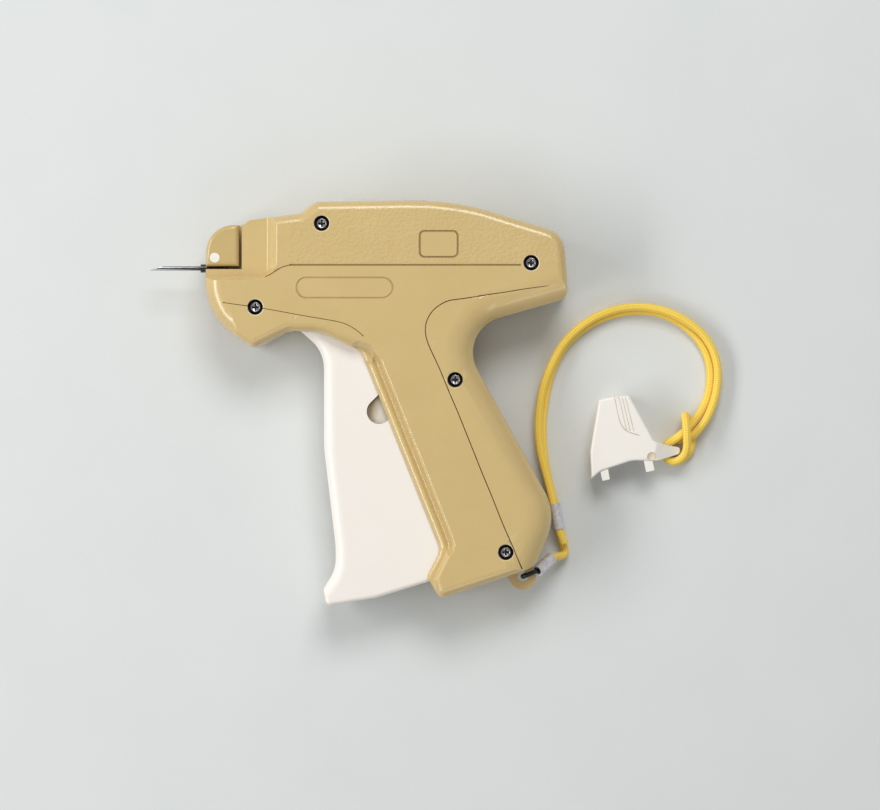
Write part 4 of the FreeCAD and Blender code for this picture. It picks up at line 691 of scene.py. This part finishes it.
# The lanyard cord.
CORD_DIAMETER = 0.003
CORD_ROUTE = [
    (0.0316, -0.0656, 0.0128), (0.0353, -0.0626, 0.0087), (0.0374, -0.0632, 0.0044), (0.0397, -0.0622, 0.0019),
    (0.0387, -0.0580, 0.0018), (0.0374, -0.0538, 0.0018), (0.0356, -0.0434, 0.0018), (0.0333, -0.0352, 0.0015),
    (0.0316, -0.0250, 0.0015), (0.0313, -0.0156, 0.0015), (0.0320, -0.0085, 0.0015), (0.0332, -0.0015, 0.0015),
    (0.0355, 0.0056, 0.0015), (0.0394, 0.0126, 0.0015), (0.0460, 0.0187, 0.0015), (0.0539, 0.0229, 0.0015),
    (0.0633, 0.0250, 0.0015), (0.0717, 0.0246, 0.0015), (0.0789, 0.0219, 0.0015), (0.0853, 0.0171, 0.0015),
    (0.0893, 0.0118, 0.0015), (0.0914, 0.0055, 0.0015), (0.0916, 0.0001, 0.0015), (0.0907, -0.0058, 0.0015),
    (0.0882, -0.0112, 0.0030), (0.0847, -0.0157, 0.0048), (0.0814, -0.0190, 0.0057), (0.0782, -0.0214, 0.0055),
    (0.0756, -0.0228, 0.0055), (0.0752, -0.0252, 0.0055), (0.0757, -0.0286, 0.0055), (0.0790, -0.0293, 0.0056),
    (0.0820, -0.0270, 0.0066), (0.0829, -0.0236, 0.0080), (0.0826, -0.0194, 0.0088), (0.0824, -0.0154, 0.0080),
    (0.0822, -0.0129, 0.0057), (0.0825, -0.0124, 0.0026), (0.0839, -0.0146, 0.0015), (0.0851, -0.0182, 0.0015),
    (0.0852, -0.0226, 0.0015), (0.0838, -0.0266, 0.0019), (0.0800, -0.0294, 0.0023), (0.0757, -0.0286, 0.0024),
    (0.0752, -0.0252, 0.0024), (0.0756, -0.0226, 0.0023), (0.0786, -0.0213, 0.0022), (0.0817, -0.0212, 0.0028),
    (0.0849, -0.0200, 0.0049), (0.0876, -0.0172, 0.0051), (0.0907, -0.0129, 0.0044), (0.0931, -0.0066, 0.0034),
    (0.0942, -0.0001, 0.0031), (0.0940, 0.0061, 0.0033), (0.0915, 0.0130, 0.0034), (0.0867, 0.0187, 0.0038),
    (0.0795, 0.0233, 0.0043), (0.0719, 0.0258, 0.0044), (0.0631, 0.0266, 0.0042), (0.0533, 0.0243, 0.0043),
    (0.0452, 0.0197, 0.0044), (0.0386, 0.0132, 0.0045), (0.0347, 0.0060, 0.0045), (0.0318, -0.0011, 0.0043),
    (0.0304, -0.0083, 0.0042), (0.0297, -0.0156, 0.0042), (0.0304, -0.0252, 0.0044), (0.0331, -0.0352, 0.0047),
    (0.0353, -0.0436, 0.0052), (0.0374, -0.0546, 0.0052), (0.0393, -0.0584, 0.0049),
]
CORD_STEP = 0.00030
CORD_SIDES = 24
YARNS = 8
YARN_PITCH = 0.0062
YARN_RISE = 0.00016


def lanyard():
    """The braided cord: rings along its line, raised where a yarn passes over another."""
    path, length = evenly(spline_points(CORD_ROUTE), CORD_STEP)
    core = CORD_DIAMETER / 2 - YARN_RISE
    vertices, heights = [], []
    side = Vector((0, 0, 1))
    for number, point in enumerate(path):
        ahead = path[min(number + 1, len(path) - 1)] - path[max(number - 1, 0)]
        ahead.normalize()
        side = (side - ahead * side.dot(ahead)).normalized()
        across = ahead.cross(side)
        run = number * length / (len(path) - 1)
        for turn in range(CORD_SIDES):
            angle = 2 * math.pi * turn / CORD_SIDES
            one = math.cos(YARNS / 2 * angle + 2 * math.pi * run / YARN_PITCH * YARNS / 2)
            other = math.cos(YARNS / 2 * angle - 2 * math.pi * run / YARN_PITCH * YARNS / 2)
            height = (1 + one * other) / 2
            out = side * math.cos(angle) + across * math.sin(angle)
            vertices.append(point + out * (core + YARN_RISE * height))
            heights.append(height)
    rings = len(path)
    mesh = bpy.data.meshes.new("lanyard_cord_braid")
    mesh.from_pydata(vertices, [], ring_faces(rings, CORD_SIDES))
    layer = mesh.uv_layers.new(name="braid")
    place = 0
    for ring in range(rings - 1):
        for turn in range(CORD_SIDES):
            for u, v in ((turn, ring), (turn + 1, ring), (turn + 1, ring + 1), (turn, ring + 1)):
                layer.data[place].uv = (u / CORD_SIDES, v / (rings - 1))
                place += 1
    rise = mesh.attributes.new("yarn_height", "FLOAT", "POINT")
    rise.data.foreach_set("value", heights)
    cord = solid("lanyard_cord_braid", mesh)
    bpy.ops.object.shade_smooth()
    dress(cord, "lanyard_cord", FINISHES["braid"])


lanyard()


# Floor, lamps and surroundings. Each lamp has a name, a place, its width and height, and its power.
LAMPS = [
    ("key", (-1.05, -0.05, 0.75), 1.30, 0.35, 10.2),
    ("fill", (0.20, -0.95, 0.95), 0.60, 0.40, 1.2),
    ("sky", (0.15, 0.95, 1.15), 0.80, 0.60, 10.6),
]


def studio():
    bpy.ops.mesh.primitive_plane_add(size=8.0, location=(0, 0, 0))
    floor = bpy.context.object
    floor.name = "pale_floor"
    finish, tree, shader = blank_finish("pale_paper")
    place = object_place(tree)
    feed(tree, shader, {
        "Base Color": blended(tree, noise(tree, place, 30.0, 3.0), tone(214, 217, 215), tone(220, 222, 220)),
        "Roughness": 0.85,
    })
    floor.data.materials.append(finish)
    for name, place, wide, high, power in LAMPS:
        bpy.ops.object.light_add(type="AREA", location=place)
        lamp = bpy.context.object
        lamp.name = name + "_softbox"
        lamp.data.shape = "RECTANGLE"
        lamp.data.size = wide
        lamp.data.size_y = high
        lamp.data.energy = power
        lamp.rotation_euler = (Vector((0, 0, 0)) - Vector(place)).to_track_quat("-Z", "Y").to_euler()
    world = bpy.data.worlds.new("studio_air")
    bpy.context.scene.world = world
    world.use_nodes = True
    air = world.node_tree.nodes["Background"]
    air.inputs["Color"].default_value = tone(236, 238, 240)
    air.inputs["Strength"].default_value = 0.37


studio()
bpy.context.scene.view_settings.view_transform = "Standard"
